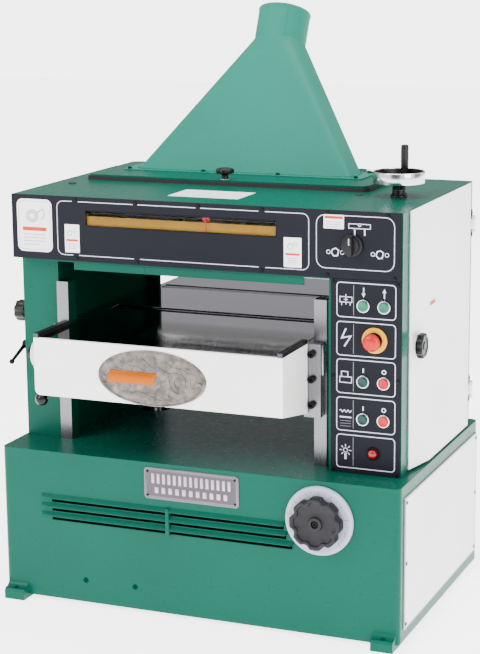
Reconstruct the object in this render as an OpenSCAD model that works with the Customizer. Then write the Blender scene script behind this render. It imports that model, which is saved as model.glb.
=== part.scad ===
// Floor-standing thickness planer for wood, with a rising table, a spiral cutterhead,
// powered feed rollers and a chip hood. Origin on the floor at the centre of the base.
// X runs to the operator's right, Y runs with the feed, Z is up. Millimetres.

/* [Base] */
// Width of the base cabinet
base_w = 990; // [980:1:1000]
// Depth of the base cabinet
base_d = 632; // [620:1:644]
// Height of the base cabinet's top above the floor
base_top = 372; // [368:1:376]
// Gap between the cabinet and the floor
foot_h = 10; // [6:1:14]
// Thickness of the cabinet sheet
sheet = 4; // [3:1:5]

/* [Upper body] */
// Left face of the upper body
body_left = -491; // [-493:1:-489]
// Right face of the upper body
body_right = 470; // [468:1:472]
// Front face of the head and the control column
body_front = -231; // [-233:1:-229]
// Rear face of the upper body
body_rear = 322; // [320:1:324]
// Underside of the head
head_bottom = 815; // [812:1:818]
// Top of the head
head_top = 966; // [962:1:970]
// Left wall of the control column
control_left = 300; // [299:1:302]

/* [Throat] */
// Clear width between the guide rails
throat_w = 620; // [618:1:624]
// Middle of the throat
throat_x = -56; // [-57:1:-55]
// Width of a guide rail
rail_w = 30; // [26:1:30]
// Depth of a guide rail
rail_d = 40; // [36:1:42]
// Front face of the guide rails
rail_front = -202; // [-203:1:-201]
// Top of the guide rails
rail_top = 757; // [740:1:765]

/* [Table] */
// Width of the table
table_w = 610; // [606:1:612]
// Table surface above the floor, as it stands here
table_z = 661; // [655:1:665]
// Front end of the table
table_front = -385; // [-390:1:-375]
// Rear end of the table
table_rear = 515; // [480:1:520]
// Height of the front apron
apron_h = 134; // [120:1:140]
// Table travel below this height
table_down = 74; // [40:1:74]
// Table travel above this height
table_up = 120; // [80:1:120]

/* [Cutting] */
// Position of the cutterhead along the feed
cutter_y = 145; // [143:1:147]
// Diameter of the cutterhead
cutter_d = 100; // [96:1:104]
// Lowest point of the cutting circle
cut_z = 788; // [786:1:790]
// Distance from the cutterhead to each feed roller
roller_pitch = 120; // [116:1:124]
// Diameter of the feed rollers
feed_roller_d = 76; // [72:1:78]
// Number of kickback fingers
fingers = 20; // [16:1:24]

/* [Chip hood] */
// Middle of the top cover and the hood
cover_x = -72; // [-74:1:-70]
// Width of the top cover
cover_w = 730; // [720:1:736]
// Outside diameter of the hose collar
port_d = 132; // [126:1:136]
// Backward lean of the hose collar
port_tilt = 25.3; // [22:0.1:28]
// Length of the hose collar
port_l = 86; // [80:1:95]

/* [Controls] */
// Middle of the push-button columns
panel_x = 406; // [404:1:408]
// Distance between the two button columns
button_gap = 48; // [46:1:50]
// Diameter of the speed dial's ring
dial_d = 160; // [150:1:164]
// Diameter of the elevation handwheel
wheel_d = 120; // [110:1:126]

/* [Hidden] */
$fn = 48;
eps = 0.01;
running = 0.05;          // radial clearance of a shaft in its bearing
gap = 0.4;               // clearance between parts that slide past each other
front_wall = body_front + sheet;
column_front = -192;     // front of the left column
column_inner = throat_x - throat_w / 2 - rail_w;
rail_right = throat_x + throat_w / 2;
rail_left = throat_x - throat_w / 2 - rail_w;
table_l = throat_x - table_w / 2;
table_r = throat_x + table_w / 2;
plate_t = 28;            // table plate thickness
apron_t = 8;             // apron thickness
apron_rear = -230;       // rear ends of the apron's side returns
apron_drop = 27;         // how much deeper the right return is at its rear end
lip = [12, 10];          // raised lips beside the front of the table, width and height
keeper_y = [-228, -206, rail_front + rail_d + gap, -140];
keeper_z = [491, table_z - 1];
screw_x = [throat_x - 250, throat_x + 250];
screw_y = cutter_y;
screw_d = 28;
sleeve_d = 64;
bed_y = [cutter_y - 141, cutter_y + 141];
bed_d = 40;
bed_lift = 0.3;          // how far the bed rollers stand above the table
bed_slot = 22;           // half width of a bed roller's slot
bed_end = 16;            // table metal left at each end of a slot
cutter_z = cut_z + cutter_d / 2 + 2;
feed_z = cut_z - 1 + feed_roller_d / 2;
feed_y = [cutter_y - roller_pitch, cutter_y + roller_pitch];
plate_left = [column_inner, column_inner + 26];    // X span of the left head plate
plate_right = [258, control_left];                 // X span of the right head plate
finger_y = -85;
finger_z = 850;
finger_rod_d = 16;
motor_y = -60;
motor_z = 170;
pulley_x = [325, 385];
cutter_pulley_r = 52;
motor_pulley_r = 62;
belt_t = 8;
sprocket_r = 30;
wheel_at = [383, 10];
wheel_z = 998;           // underside of the handwheel rim
rim_h = 27;
grip_r = 42;             // grip's distance from the wheel's axis
fascia_y = body_front - 4;
window_x = [-298, 178];
window_z = [898, 936];
pointer_x = 3;
pointer_z = 929;
selector_at = [356, 890];
dial_at = [309, 281];
dial_y = -base_d / 2;
row_z = [757, 681, 586, 500, 423];   // heights of the five control rows
stop_at = [panel_x + 2, row_z[1]];
lamp_at = [panel_x, row_z[4]];
button_l = panel_x - button_gap / 2;
button_r = panel_x + button_gap / 2;
button_ats = [[button_l, row_z[0]], [button_r, row_z[0]], [button_l, row_z[2]],
              [button_r, row_z[2]], [button_l, row_z[3]], [button_r, row_z[3]]];
cover_y = [50, 318];
cover_z = 976;
cover_t = 4;
cover_corner = 18;      // radius of the top cover's corners
cover_l = cover_x - cover_w / 2;
cover_r = cover_x + cover_w / 2;
cover_pin = [body_rear + 5, cover_z + 2];
cover_pins_x = [cover_x - 250, cover_x + 250];
knob_at = [cover_x, cover_y[0] + 14];
flange_x = [cover_x - 316, cover_x + 316];
flange_y = [152, 268];
flange_t = 3;
hood_x = [cover_x - 285, cover_x + 285];
hood_y = [169, 256];
hood_wall = 2;
port_at = [cover_x, 432, 1281];      // middle of the collar's lower end
disc_t = 11;                           // thickness of the disc behind the bed roller lever
lever_at = [-350, 618];              // bed roller lever's pivot, Y and Z
lever_l = 126;
lever_lean = 16.6;
lock_at = [-172, 590];               // table lock's pivot, Y and Z
lock_l = 77;
lock_lean = 67;
left_door_z = [616, 808];
left_door_y = [-186, 302];
left_pin = [body_left - 7, 309];
left_latch_at = [-165, 672];
right_door_y = [-184, 300];
right_door_z = [378, 964];
right_pin = [body_right + 7, 308];
right_latch_at = [-158, 660];
right_latch_x = body_right + 15;
right_hinges_z = [450, 863];
left_hinges_z = [660, 770];
door_t = 3;
foot_x = 462;
foot_y = base_d / 2 + 12;
foot_hole_r = 6;
louvre_left = -364;
louvres = [[249, 223], [227, 229], [205, 244]];   // Z and right end of each slot
side_panel_y = [-283, 300];
side_panel_z = [37, 343];
badge = [266, 128];      // oval table badge, width and height
badge_at = [-64, 590];

green = [0.25, 0.54, 0.47];
dark_green = [0.12, 0.36, 0.3];
white = [0.9, 0.9, 0.9];
steel = [0.72, 0.72, 0.74];
iron = [0.45, 0.46, 0.48];
black = [0.15, 0.15, 0.17];
charcoal = [0.21, 0.21, 0.26];

// ---- small building blocks ----

// A box between two opposite corners
module block(a, b) {
    translate(a) cube(b - a);
}

// A cylinder along X, Y or Z from one end to the other
module rod_x(x0, x1, y, z, r) {
    translate([x0, y, z]) rotate([0, 90, 0]) cylinder(r = r, h = x1 - x0);
}
module rod_y(y0, y1, x, z, r) {
    translate([x, y0, z]) rotate([-90, 0, 0]) cylinder(r = r, h = y1 - y0);
}
module rod_z(z0, z1, x, y, r) {
    translate([x, y, z0]) cylinder(r = r, h = z1 - z0);
}

// A box with rounded vertical edges
module rounded_block(a, b, r) {
    block([a[0] + r, a[1], a[2]], [b[0] - r, b[1], b[2]]);
    block([a[0], a[1] + r, a[2]], [b[0], b[1] - r, b[2]]);
    for (x = [a[0] + r, b[0] - r], y = [a[1] + r, b[1] - r]) rod_z(a[2], b[2], x, y, r);
}

// Points along an arc, ends included
function arc(centre, r, from, to, steps = 24) =
    [for (i = [0:steps]) centre + r * [cos(from + (to - from) * i / steps), sin(from + (to - from) * i / steps)]];

// Outline of a loop around two wheels, the first at the origin
function loop_points(to, r1, r2) =
    let (turn = atan2(to[1], to[0]), open = acos((r1 - r2) / norm(to)))
        concat(arc([0, 0], r1, turn + open, turn + 360 - open), arc(to, r2, turn - open, turn + open));

// A loop lying in the YZ plane between x0 and x1
module loop_yz(x0, x1, from, to, r1, r2, t) {
    translate([x0, from[0], from[1]])
        rotate([90, 0, 90])
            linear_extrude(x1 - x0)
                difference() {
                    polygon(loop_points(to - from, r1 + t, r2 + t));
                    polygon(loop_points(to - from, r1, r2));
                }
}

// ---- base ----

module louvre_lip(z, right) {
    lip = 8;
    translate([louvre_left - 24, dial_y, z + 12])
        rotate([90, 0, 90])
            linear_extrude(right - louvre_left + 26)
                polygon([[0, 8], [-lip, 1], [-lip, -1], [0, 0]]);
}

module base_frame() color(green) {
    w = base_w / 2;
    d = base_d / 2;
    difference() {
        rounded_block([-w, -d, foot_h], [w, d, base_top], 14);
        rounded_block([sheet - w, sheet - d, foot_h + sheet], [w - sheet, d - sheet, base_top - 6], 10);
        for (l = louvres, s = [[louvre_left, -66], [-58, l[1]]])
            block([s[0], -d - 1, l[0]], [s[1], sheet - d + 1, l[0] + 12]);
        block([w - sheet - 1, -262, 60], [w + 1, 280, 322]);
        for (x = screw_x) rod_z(base_top - 7, base_top + 1, x, screw_y, sleeve_d / 2 + 10);
        block([pulley_x[0] - 14, -95, base_top - 7], [pulley_x[1] + 14, 110, base_top + 1]);
        rod_y(-d - 1, sheet - d + 1, dial_at[0], dial_at[1], 8 + running);
    }
    for (l = louvres) louvre_lip(l[0], l[1]);
    for (x = [-foot_x, foot_x], side = [-1, 1]) foot_lug(x, side);
}

module foot_lug(x, side) {
    arc = 18;
    front = base_d / 2 + 24;
    difference() {
        translate([x - 26, 0, 0])
            rotate([90, 0, 90])
                linear_extrude(52)
                    polygon(concat(
                        [[side * (front - 60), 0], [side * front, 0], [side * front, 20],
                         [side * (front - 3), 26]],
                        [for (a = [0:15:90])
                            [side * (base_d / 2 + arc - arc * sin(a)), 26 + arc - arc * cos(a)]],
                        [[side * (base_d / 2 - 2), 26 + arc], [side * (base_d / 2 - 2), foot_h + 2],
                         [side * (front - 60), foot_h + 2]]));
        rod_z(-1, 60, x, side * foot_y, foot_hole_r);
    }
}

module base_side_panel() color(white) {
    w = base_w / 2;
    difference() {
        block([w, side_panel_y[0], side_panel_z[0]], [w + 3, side_panel_y[1], side_panel_z[1]]);
        for (at = side_panel_screws) rod_x(w - 1, w + 4, at[0], at[1], 3);
    }
}

side_panel_screws = [for (y = [side_panel_y[0] + 8, side_panel_y[1] - 8],
                          z = [side_panel_z[0] + 12, (side_panel_z[0] + side_panel_z[1]) / 2,
                               side_panel_z[1] - 12]) [y, z]];
fascia_screws = concat([for (x = [-323, -169, -12, 143, 298, 437]) [x, head_top - 6]],
                       [for (x = [-323, -167, 142, 298, 453]) [x, head_bottom + 7]]);
panel_plate_screws = [for (x = [312, body_right - 9], z = [380, 594, 807]) [x, z]];

module pan_screw(length) {
    rotate_extrude() polygon([[0, -length], [2.4, -length], [2.4, 0], [4.6, 0], [3.8, 2], [0, 2.6]]);
}

module panel_screws() color(black) {
    for (at = side_panel_screws)
        translate([base_w / 2 + 3, at[0], at[1]]) rotate([0, 90, 0]) pan_screw(2.5);
    for (at = concat(fascia_screws, panel_plate_screws))
        translate([at[0], fascia_y, at[1]]) rotate([90, 0, 0]) pan_screw(3.5);
}

// ---- columns and rails ----

module left_column() color(green) {
    difference() {
        block([body_left, column_front, base_top], [column_inner, 312, head_bottom]);
        block([body_left + 6, column_front + 6, base_top - 1], [column_inner - 6, 306, head_bottom + 1]);
        block([body_left - 1, left_latch_at[0] + 30, left_door_z[0] + 6],
              [body_left + 7, left_door_y[1] - 12, left_door_z[1] - 8]);
        rod_x(body_left - 1, body_left + 7, lock_at[0], lock_at[1], 6 + running);
        rod_x(body_left - 1, body_left + 7, left_latch_at[0], left_latch_at[1], 8);
        block([column_inner - 7, -30, 770], [column_inner + 1, 306, head_bottom + 1]);
    }
    block([column_inner - eps, 300, base_top], [column_inner + rail_w + 2, 312, head_bottom - 30]);
}

module button_holes(y0, y1) {
    for (at = concat(button_ats, [stop_at])) rod_y(y0, y1, at[0], at[1], 11 + gap);
    rod_y(y0, y1, lamp_at[0], lamp_at[1], 11 + running);
}

module right_column() color(green) {
    difference() {
        block([control_left, body_front, base_top], [body_right, body_rear, head_bottom]);
        block([control_left + sheet, front_wall, base_top - 1],
              [body_right - sheet, body_rear - sheet, head_bottom + 1]);
        block([body_right - sheet - 1, right_latch_at[0] + 30, right_door_z[0] + 12],
              [body_right + 1, right_door_y[1] - 12, head_bottom + 1]);
        rod_x(body_right - sheet - 1, body_right + 1, right_latch_at[0], right_latch_at[1], 9);
        button_holes(body_front - 1, front_wall + 1);
    }
    block([rail_right + rail_w, rail_front + 4, base_top], [control_left + eps, rail_front + 30, rail_top]);
}

module guide_rails() color(steel) {
    for (x = [rail_left, rail_right])
        block([x, rail_front, base_top], [x + rail_w, rail_front + rail_d, rail_top]);
}

// ---- head ----

module head_shell() color(green) {
    difference() {
        block([body_left, body_front, head_bottom], [body_right, body_rear, head_top]);
        block([body_left + sheet, front_wall, head_bottom - 1],
              [body_right - sheet, body_rear - sheet, head_top - sheet]);
        block([body_right - sheet - 1, right_latch_at[0] + 30, head_bottom - 1],
              [body_right + 1, right_door_y[1] - 12, head_top - 14]);
        block([cover_l + 20, cover_y[0] + 34, head_top - sheet - 1],
              [cover_r - 20, cover_y[1] - 20, head_top + 1]);
        rod_z(head_top - sheet - 1, head_top + 1, knob_at[0], knob_at[1], 8);
        rod_z(head_top - sheet - 1, head_top + 1, wheel_at[0], wheel_at[1], 12);
        block([window_x[0], body_front - 1, window_z[0]], [window_x[1], front_wall + 1, window_z[1]]);
        rod_y(body_front - 1, front_wall + 1, selector_at[0], selector_at[1], 5 + running);
    }
    block([column_inner, body_front, head_bottom - sheet], [control_left, finger_y - 60, head_bottom + eps]);
    block([-334, body_front + 3, cut_z + 5], [240, body_front + 6, head_bottom - sheet + eps]);
}

module head_plate(xs) {
    difference() {
        block([xs[0], finger_y - 25, 772], [xs[1], 300, 935]);
        rod_x(xs[0] - 1, xs[1] + 1, cutter_y, cutter_z, 40);
        for (y = feed_y) rod_x(xs[0] - 1, xs[1] + 1, y, feed_z, 26);
        rod_x(xs[0] - 1, xs[1] + 1, finger_y, finger_z, finger_rod_d / 2 + running);
    }
}

module head_plates() color(dark_green) {
    head_plate(plate_left);
    head_plate([plate_right[0], plate_right[1] - 14]);
    // pad that carries the right plate on the control column
    block([plate_right[1] - 14 - eps, -60, 772], [plate_right[1], 290, 792]);
}

module fascia() color(charcoal) {
    difference() {
        block([body_left, fascia_y, head_bottom], [body_right - 2, body_front, head_top]);
        block([window_x[0], fascia_y - 1, window_z[0]], [window_x[1], body_front + 1, window_z[1]]);
        rod_y(fascia_y - 1, body_front + 1, selector_at[0], selector_at[1], 5 + running);
        for (at = fascia_screws) rod_y(fascia_y - 1, body_front + 1, at[0], at[1], 2.45);
    }
}

module window_lens() color([0.8, 0.85, 0.9, 0.3])
    block([window_x[0], fascia_y + 1, window_z[0]], [window_x[1], fascia_y + 3, window_z[1]]);

module depth_scale() color([0.78, 0.6, 0.18]) {
    block([window_x[0] - 8, front_wall, 892], [window_x[1] + 8, front_wall + 2, 921]);
    rod_x(window_x[0] - 1, window_x[1] + 1, front_wall + 5, pointer_z, 2);
    for (x = [window_x[0] - 8, window_x[1]])
        block([x, front_wall, 915], [x + 8, front_wall + 8, pointer_z + 5]);
}

module scale_pointer() color([0.8, 0.12, 0.1]) {
    difference() {
        block([pointer_x - 9, front_wall + 2.6, pointer_z - 5], [pointer_x + 9, front_wall + 10, pointer_z + 5]);
        rod_x(pointer_x - 10, pointer_x + 10, front_wall + 5, pointer_z, 2 + running);
    }
    block([pointer_x - 1.5, front_wall - 2, 900], [pointer_x + 1.5, front_wall - gap, pointer_z]);
    block([pointer_x - 1.5, front_wall - 2, 925], [pointer_x + 1.5, front_wall + 3, pointer_z - 1]);
}

module control_panel() color(charcoal)
    difference() {
        block([306, fascia_y, base_top + 2], [body_right - 2, body_front, head_bottom - 1]);
        button_holes(fascia_y - 1, body_front + 1);
        for (at = panel_plate_screws) rod_y(fascia_y - 1, body_front + 1, at[0], at[1], 2.45);
    }

module bezel(at, r, t) {
    difference() {
        rod_y(fascia_y - t, fascia_y, at[0], at[1], r);
        rod_y(fascia_y - t - 1, fascia_y + 1, at[0], at[1], 11 + running);
    }
}

module button_bezels() color(steel) {
    for (at = button_ats) bezel(at, 15, 5);
    bezel(stop_at, 29, 3);
    difference() {
        rod_y(fascia_y - 5, fascia_y, lamp_at[0], lamp_at[1], 15);
        rod_y(fascia_y - 6, fascia_y + 1, lamp_at[0], lamp_at[1], 11 + running);
    }
}

module power_lamp() color([0.8, 0.1, 0.12])
    translate([lamp_at[0], body_front + 20, lamp_at[1]])
        rotate([90, 0, 0])
            rotate_extrude()
                polygon(concat([[0, 0], [11, 0], [11, 31]],
                               [for (a = [15:15:90]) [11 * cos(a), 31 + 5 * sin(a)]]));

// ---- cutting and feeding ----

module pressure_bar() color(steel)
    translate([plate_left[1], cutter_y + 60, cut_z + 1])
        rotate([90, 0, 90])
            linear_extrude(plate_right[0] - plate_left[1])
                polygon([[0, 4], [6, 0], [16, 0], [16, 46], [4, 46], [4, 20]]);

module chip_breaker() color(iron)
    translate([plate_left[1], cutter_y - 66, cut_z + 3])
        rotate([90, 0, 90])
            linear_extrude(plate_right[0] - plate_left[1])
                polygon([[-6, 0], [2, 0], [6, 24], [6, 56], [-6, 56], [-10, 20]]);

module ring_x(x0, x1, y, z, r_out, r_in) {
    difference() {
        rod_x(x0, x1, y, z, r_out);
        rod_x(x0 - 1, x1 + 1, y, z, r_in);
    }
}

module bearings() color(iron) {
    for (xs = [plate_left, [plate_right[0], plate_right[0] + 26]]) {
        ring_x(xs[0], xs[1], cutter_y, cutter_z, 40, 17.5 + running);
        for (y = feed_y) ring_x(xs[0], xs[1], y, feed_z, 26, 12.5 + running);
    }
    // pedestals of the elevation screws
    for (x = screw_x) difference() {
        rod_z(foot_h + sheet, 80, x, screw_y, 35);
        rod_z(foot_h + sheet + 4, 81, x, screw_y, 10 + running);
    }
    // collar of the elevation handwheel
    difference() {
        rod_z(head_top, head_top + 18, wheel_at[0], wheel_at[1], 15);
        rod_z(head_top - 1, head_top + 19, wheel_at[0], wheel_at[1], 9 + running);
    }
}

module grooved_pulley(r, y, z) {
    grooves = [for (i = [0:2]) pulley_x[0] + 13 + 17 * i];
    difference() {
        rod_x(pulley_x[0], pulley_x[1], y, z, r + 4);
        for (x = grooves) ring_x(x - 6, x + 6, y, z, r + 6, r - belt_t / 2);
    }
}

module drive_belts() color(black)
    for (i = [0:2]) {
        x = pulley_x[0] + 13 + 17 * i;
        loop_yz(x - 5, x + 5, [motor_y, motor_z], [cutter_y, cutter_z],
                motor_pulley_r - belt_t / 2 + gap, cutter_pulley_r - belt_t / 2 + gap, belt_t);
    }

module cutterhead() color(steel) {
    rod_x(plate_left[1] + 10, plate_right[0] - 14, cutter_y, cutter_z, cutter_d / 2);
    rod_x(plate_left[0] + 2, plate_left[1] + 10, cutter_y, cutter_z, 17.5);
    rod_x(plate_right[0] - 14, plate_right[0] + 28, cutter_y, cutter_z, 17.5);
    rod_x(plate_right[0] + 28, pulley_x[1] + 6, cutter_y, cutter_z, 15);
    grooved_pulley(cutter_pulley_r, cutter_y, cutter_z);
}

module motor_pulley() color(iron) {
    rod_x(220, pulley_x[1] + 6, motor_y, motor_z, 14);
    grooved_pulley(motor_pulley_r, motor_y, motor_z);
}

module main_motor() color(iron) {
    difference() {
        union() {
            rod_x(20, 270, motor_y, motor_z, 88);
            rod_x(270, 284, motor_y, motor_z, 60);
            block([60, motor_y - 40, 250], [160, motor_y + 40, 296]);
            for (y = [motor_y - 90, motor_y + 60])
                block([60, y, foot_h + sheet], [230, y + 30, motor_z - 40]);
        }
        rod_x(219, 285, motor_y, motor_z, 14 + running);
    }
}

module feed_roller(y, shaft_end) {
    rod_x(plate_left[1] + 8, plate_right[0] - 8, y, feed_z, feed_roller_d / 2);
    rod_x(shaft_end, plate_left[1] + 8, y, feed_z, 12.5);
    rod_x(plate_right[0] - 8, plate_right[0] + 26, y, feed_z, 12.5);
    rod_x(-424, -414, y, feed_z, sprocket_r);
}

module infeed_roller() color(steel) feed_roller(feed_y[0], -450);
module outfeed_roller() color(steel) feed_roller(feed_y[1], -428);

module feed_chain() color(iron)
    loop_yz(-422, -416, [feed_y[0], feed_z], [feed_y[1], feed_z], sprocket_r + gap, sprocket_r + gap, 7);

module feed_gearmotor() color(iron)
    difference() {
        union() {
            block([body_left + 6, feed_y[0] - 50, 740], [-432, feed_y[0] + 50, 870]);
            rod_z(520, 740, -448, feed_y[0], 36);
        }
        rod_x(-451, -431, feed_y[0], feed_z, 12.5 + running);
    }

module finger(x) {
    translate([x - 7, finger_y, finger_z])
        rotate([90, 0, 90])
            linear_extrude(14)
                polygon([[-11, 10], [11, 10], [13, -12], [2, -58], [-5, -58], [-13, -20]]);
}

module kickback_fingers() color(iron) {
    first = table_l + 14;
    step = (table_w - 28) / (fingers - 1);
    rod_x(plate_left[0] + 4, plate_right[0] + 26, finger_y, finger_z, finger_rod_d / 2);
    for (i = [0:fingers - 1]) finger(first + i * step);
}

// ---- table ----

module table_casting() color(steel)
    difference() {
        union() {
            block([table_l + apron_t, table_front + apron_t, table_z - plate_t],
                  [table_r - apron_t, apron_rear + eps, table_z]);
            block([table_l, apron_rear, table_z - plate_t], [table_r, table_rear, table_z]);
            for (x = [table_l, table_r - lip[0]])
                block([x, table_front, table_z], [x + lip[0], apron_rear - 2, table_z + lip[1]]);
            for (x = [table_l + apron_t, table_r - lip[0]])
                block([x, table_front + apron_t, table_z - 2], [x + lip[0] - apron_t, apron_rear - 2, table_z + 1]);
            for (x = [table_l, table_r - bed_end])
                block([x, keeper_y[3], 575], [x + bed_end, table_rear, table_z - plate_t + eps]);
            for (x = [throat_x - 100, throat_x + 88])
                block([x, -370, 600], [x + 12, bed_y[0] - bed_slot - 6, table_z - plate_t + eps]);
            block([table_l + 20, bed_y[0] + bed_slot + 6, 600], [table_r - 20, bed_y[0] + bed_slot + 20, 640]);
            block([table_l + 20, table_rear - 20, 600], [table_r - 20, table_rear, 640]);
            for (x = screw_x) rod_z(400, table_z - plate_t + eps, x, screw_y, sleeve_d / 2);
        }
        for (y = bed_y) {
            block([table_l + bed_end, y - bed_slot, 560], [table_r - bed_end, y + bed_slot, table_z + 1]);
            rod_x(table_l + 3, table_r - 3, y, table_z + bed_lift - bed_d / 2, 8 + running);
        }
        for (x = [table_l - 1, table_r - 10])
            block([x, keeper_y[0], 480], [x + 11, keeper_y[3], table_z + 1]);
        for (x = screw_x) rod_z(399, table_z - plate_t - 1, x, screw_y, screw_d / 2 + 0.5);
    }

module table_apron() color(steel)
    difference() {
        union() {
            block([table_l, table_front, table_z - apron_h], [table_r, table_front + apron_t, table_z]);
            block([table_l, table_front, table_z - apron_h], [table_l + apron_t, apron_rear, table_z]);
            translate([table_r - apron_t, 0, 0]) rotate([90, 0, 90]) linear_extrude(apron_t)
                polygon([[table_front, table_z], [table_front, table_z - apron_h],
                         [apron_rear, table_z - apron_h - apron_drop], [apron_rear, table_z]]);
        }
        corner = 14;
        difference() {
            block([table_l - 1, table_front - 1, table_z - apron_h - 1],
                  [table_l + corner, apron_rear + 1, table_z - apron_h + corner]);
            rod_y(table_front - 2, apron_rear + 2, table_l + corner, table_z - apron_h + corner, corner);
        }
        rod_x(table_l - 1, table_l + apron_t + 1, lever_at[0], lever_at[1], 6 + running);
    }

// one C-shaped block around a guide rail, drawn for the right-hand side of the throat
module slide_block() {
    inner = table_r - 10;
    translate([0, 0, keeper_z[0]])
        linear_extrude(keeper_z[1] - keeper_z[0])
            polygon([[inner, keeper_y[0]], [rail_right + rail_w - 5, keeper_y[0]],
                         [rail_right + rail_w - 5, keeper_y[1]], [rail_right - gap, keeper_y[1]],
                         [rail_right - gap, keeper_y[2]], [rail_right + 24, keeper_y[2]],
                         [rail_right + 24, keeper_y[3]], [inner, keeper_y[3]]]);
}

module both_sides() {
    children();
    translate([2 * throat_x, 0, 0]) mirror([1, 0, 0]) children();
}

gib_screws_z = [521, 580, 638];

module slide_blocks() color(steel)
    both_sides()
        difference() {
            slide_block();
            for (z = gib_screws_z) rod_y(keeper_y[0] - 1, keeper_y[1] + 1, rail_right + 5, z, 5 + running);
        }

module gib_set() both_sides() {
    color([0.7, 0.6, 0.35])
        block([rail_right + 2, keeper_y[1] + gap, 500], [rail_right + 27, rail_front - gap, 650]);
    color(black)
        for (z = gib_screws_z) difference() {
            union() {
                rod_y(keeper_y[0] - 9, keeper_y[0], rail_right + 5, z, 8.5);
                rod_y(keeper_y[0] - 1, keeper_y[1] + gap, rail_right + 5, z, 5);
            }
            translate([rail_right + 5, keeper_y[0] - 4, z]) rotate([90, 0, 0]) cylinder(r = 5, h = 6, $fn = 6);
        }
}

module table_badge() color([0.55, 0.52, 0.53]) {
    outline = [for (a = [0:7.5:352.5]) [badge[0] / 2 * cos(a), badge[1] / 2 * sin(a)]];
    translate([badge_at[0], table_front, badge_at[1]])
        rotate([90, 0, 0])
            linear_extrude(3) polygon(outline);
    for (side = [-1, 1])
        rod_y(table_front - 5, table_front - 3 + eps, badge_at[0] + side * (badge[0] / 2 - 10), badge_at[1], 4);
}

module lever_disc() color(white)
    ring_x(table_l - disc_t, table_l, lever_at[0], lever_at[1], 34, 6 + running);

module bed_roller(y) {
    z = table_z + bed_lift - bed_d / 2;
    rod_x(table_l + bed_end + 1, table_r - bed_end - 1, y, z, bed_d / 2);
    for (xs = [[table_l + 5, table_l + bed_end + 2], [table_r - bed_end - 2, table_r - 5]])
        rod_x(xs[0], xs[1], y, z, 8);
}

module bed_roller_front() color(steel) bed_roller(bed_y[0]);
module bed_roller_rear() color(steel) bed_roller(bed_y[1]);

module bed_roller_lever() color(black) {
    x = table_l - disc_t - gap;
    rod_x(x - 18, x, lever_at[0], lever_at[1], 15);
    rod_x(x - 1, table_l + 14, lever_at[0], lever_at[1], 6);
    translate([x - 11, lever_at[0], lever_at[1]])
        rotate([lever_lean, 0, 0]) {
            rotate([180, 0, 0]) cylinder(r = 4, h = lever_l - 10);
            translate([0, 0, -lever_l]) sphere(r = 15.5);
        }
}

// ---- table lock and elevation ----

module table_lock_lever() color(black) {
    rod_x(body_left - 16, body_left - gap, lock_at[0], lock_at[1], 11);
    rod_x(body_left - 1, body_left + 30, lock_at[0], lock_at[1], 6);
    translate([body_left - 12, lock_at[0], lock_at[1]])
        rotate([-lock_lean, 0, 0]) {
            rotate([180, 0, 0]) cylinder(r1 = 5, r2 = 3.5, h = lock_l);
            translate([0, 0, -lock_l]) sphere(r = 5);
        }
}

module elevation_screw(x) {
    rod_z(80 + gap, 555, x, screw_y, screw_d / 2);
    rod_z(foot_h + sheet + 5, 81, x, screw_y, 10);
}

module elevation_screw_left() color(steel) elevation_screw(screw_x[0]);
module elevation_screw_right() color(steel) elevation_screw(screw_x[1]);

module elevation_wheel() color(steel)
    translate([wheel_at[0], wheel_at[1], 0]) {
        r = wheel_d / 2;
        translate([0, 0, wheel_z])
            rotate_extrude()
                polygon([[0, 4], [r - 14, 4], [r - 4, 0], [r, 3], [r, rim_h - 2], [r - 2, rim_h],
                         [r - 4, rim_h], [r - 6, 10], [18, 10], [14, 13], [0, 14]]);
        translate([0, 0, head_top + 18 + gap])
            cylinder(r1 = 14, r2 = 12, h = wheel_z + 5 - head_top - 18 - gap);
        translate([0, 0, head_top - 40]) cylinder(r = 9, h = 70);
        translate([0, grip_r, wheel_z + 6]) cylinder(r = 4, h = 66);
    }

module wheel_grip() color(black)
    translate([wheel_at[0], wheel_at[1] + grip_r, wheel_z + 10 + gap])
        difference() {
            rotate_extrude()
                polygon([[0, 0], [7, 0], [7.5, 6], [9, 30], [9, 62], [7, 70], [0, 72]]);
            translate([0, 0, -1]) cylinder(r = 4 + running, h = 66);
        }

// ---- top cover and hood ----

module cover_seal() color(black)
    difference() {
        rounded_block([cover_l - 3, cover_y[0] - 2, head_top],
                      [cover_r + 3, cover_y[1] + 2, cover_z - gap], cover_corner);
        block([cover_l + 14, cover_y[0] + 16, head_top - 1], [cover_r - 14, cover_y[1] - 16, cover_z + 1]);
        rod_z(head_top - 1, cover_z + 1, knob_at[0], knob_at[1], 8);
    }

module top_cover() color(green)
    difference() {
        union() {
            rounded_block([cover_l, cover_y[0], cover_z],
                          [cover_r, cover_y[1], cover_z + cover_t], cover_corner);
            for (x = cover_pins_x) {
                block([x - 20, cover_y[1] - 30, cover_z + 1], [x + 20, cover_pin[0], cover_z + cover_t + 1]);
                rod_x(x - 20, x + 20, cover_pin[0], cover_pin[1], 6);
            }
        }
        block([hood_x[0] + 10, hood_y[0] + 8, cover_z - 1], [hood_x[1] - 10, hood_y[1] - 8, cover_z + cover_t + 1]);
        rod_z(cover_z - 1, cover_z + cover_t + 1, knob_at[0], knob_at[1], 5 + running);
        for (x = cover_pins_x) rod_x(x - 21, x + 21, cover_pin[0], cover_pin[1], 3 + running);
    }

// Square-to-round skin between the cover and the hose collar, as a solid
module hood_skin(inset, low, ring_r, ring_z) {
    hull() {
        block([hood_x[0] + inset, hood_y[0] + inset, cover_z + cover_t - low],
              [hood_x[1] - inset, hood_y[1] - inset, cover_z + cover_t + flange_t + 1]);
        translate(port_at) rotate([-port_tilt, 0, 0]) translate([0, 0, ring_z])
            cylinder(r = ring_r, h = 1, $fn = 48);
    }
}

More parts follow.
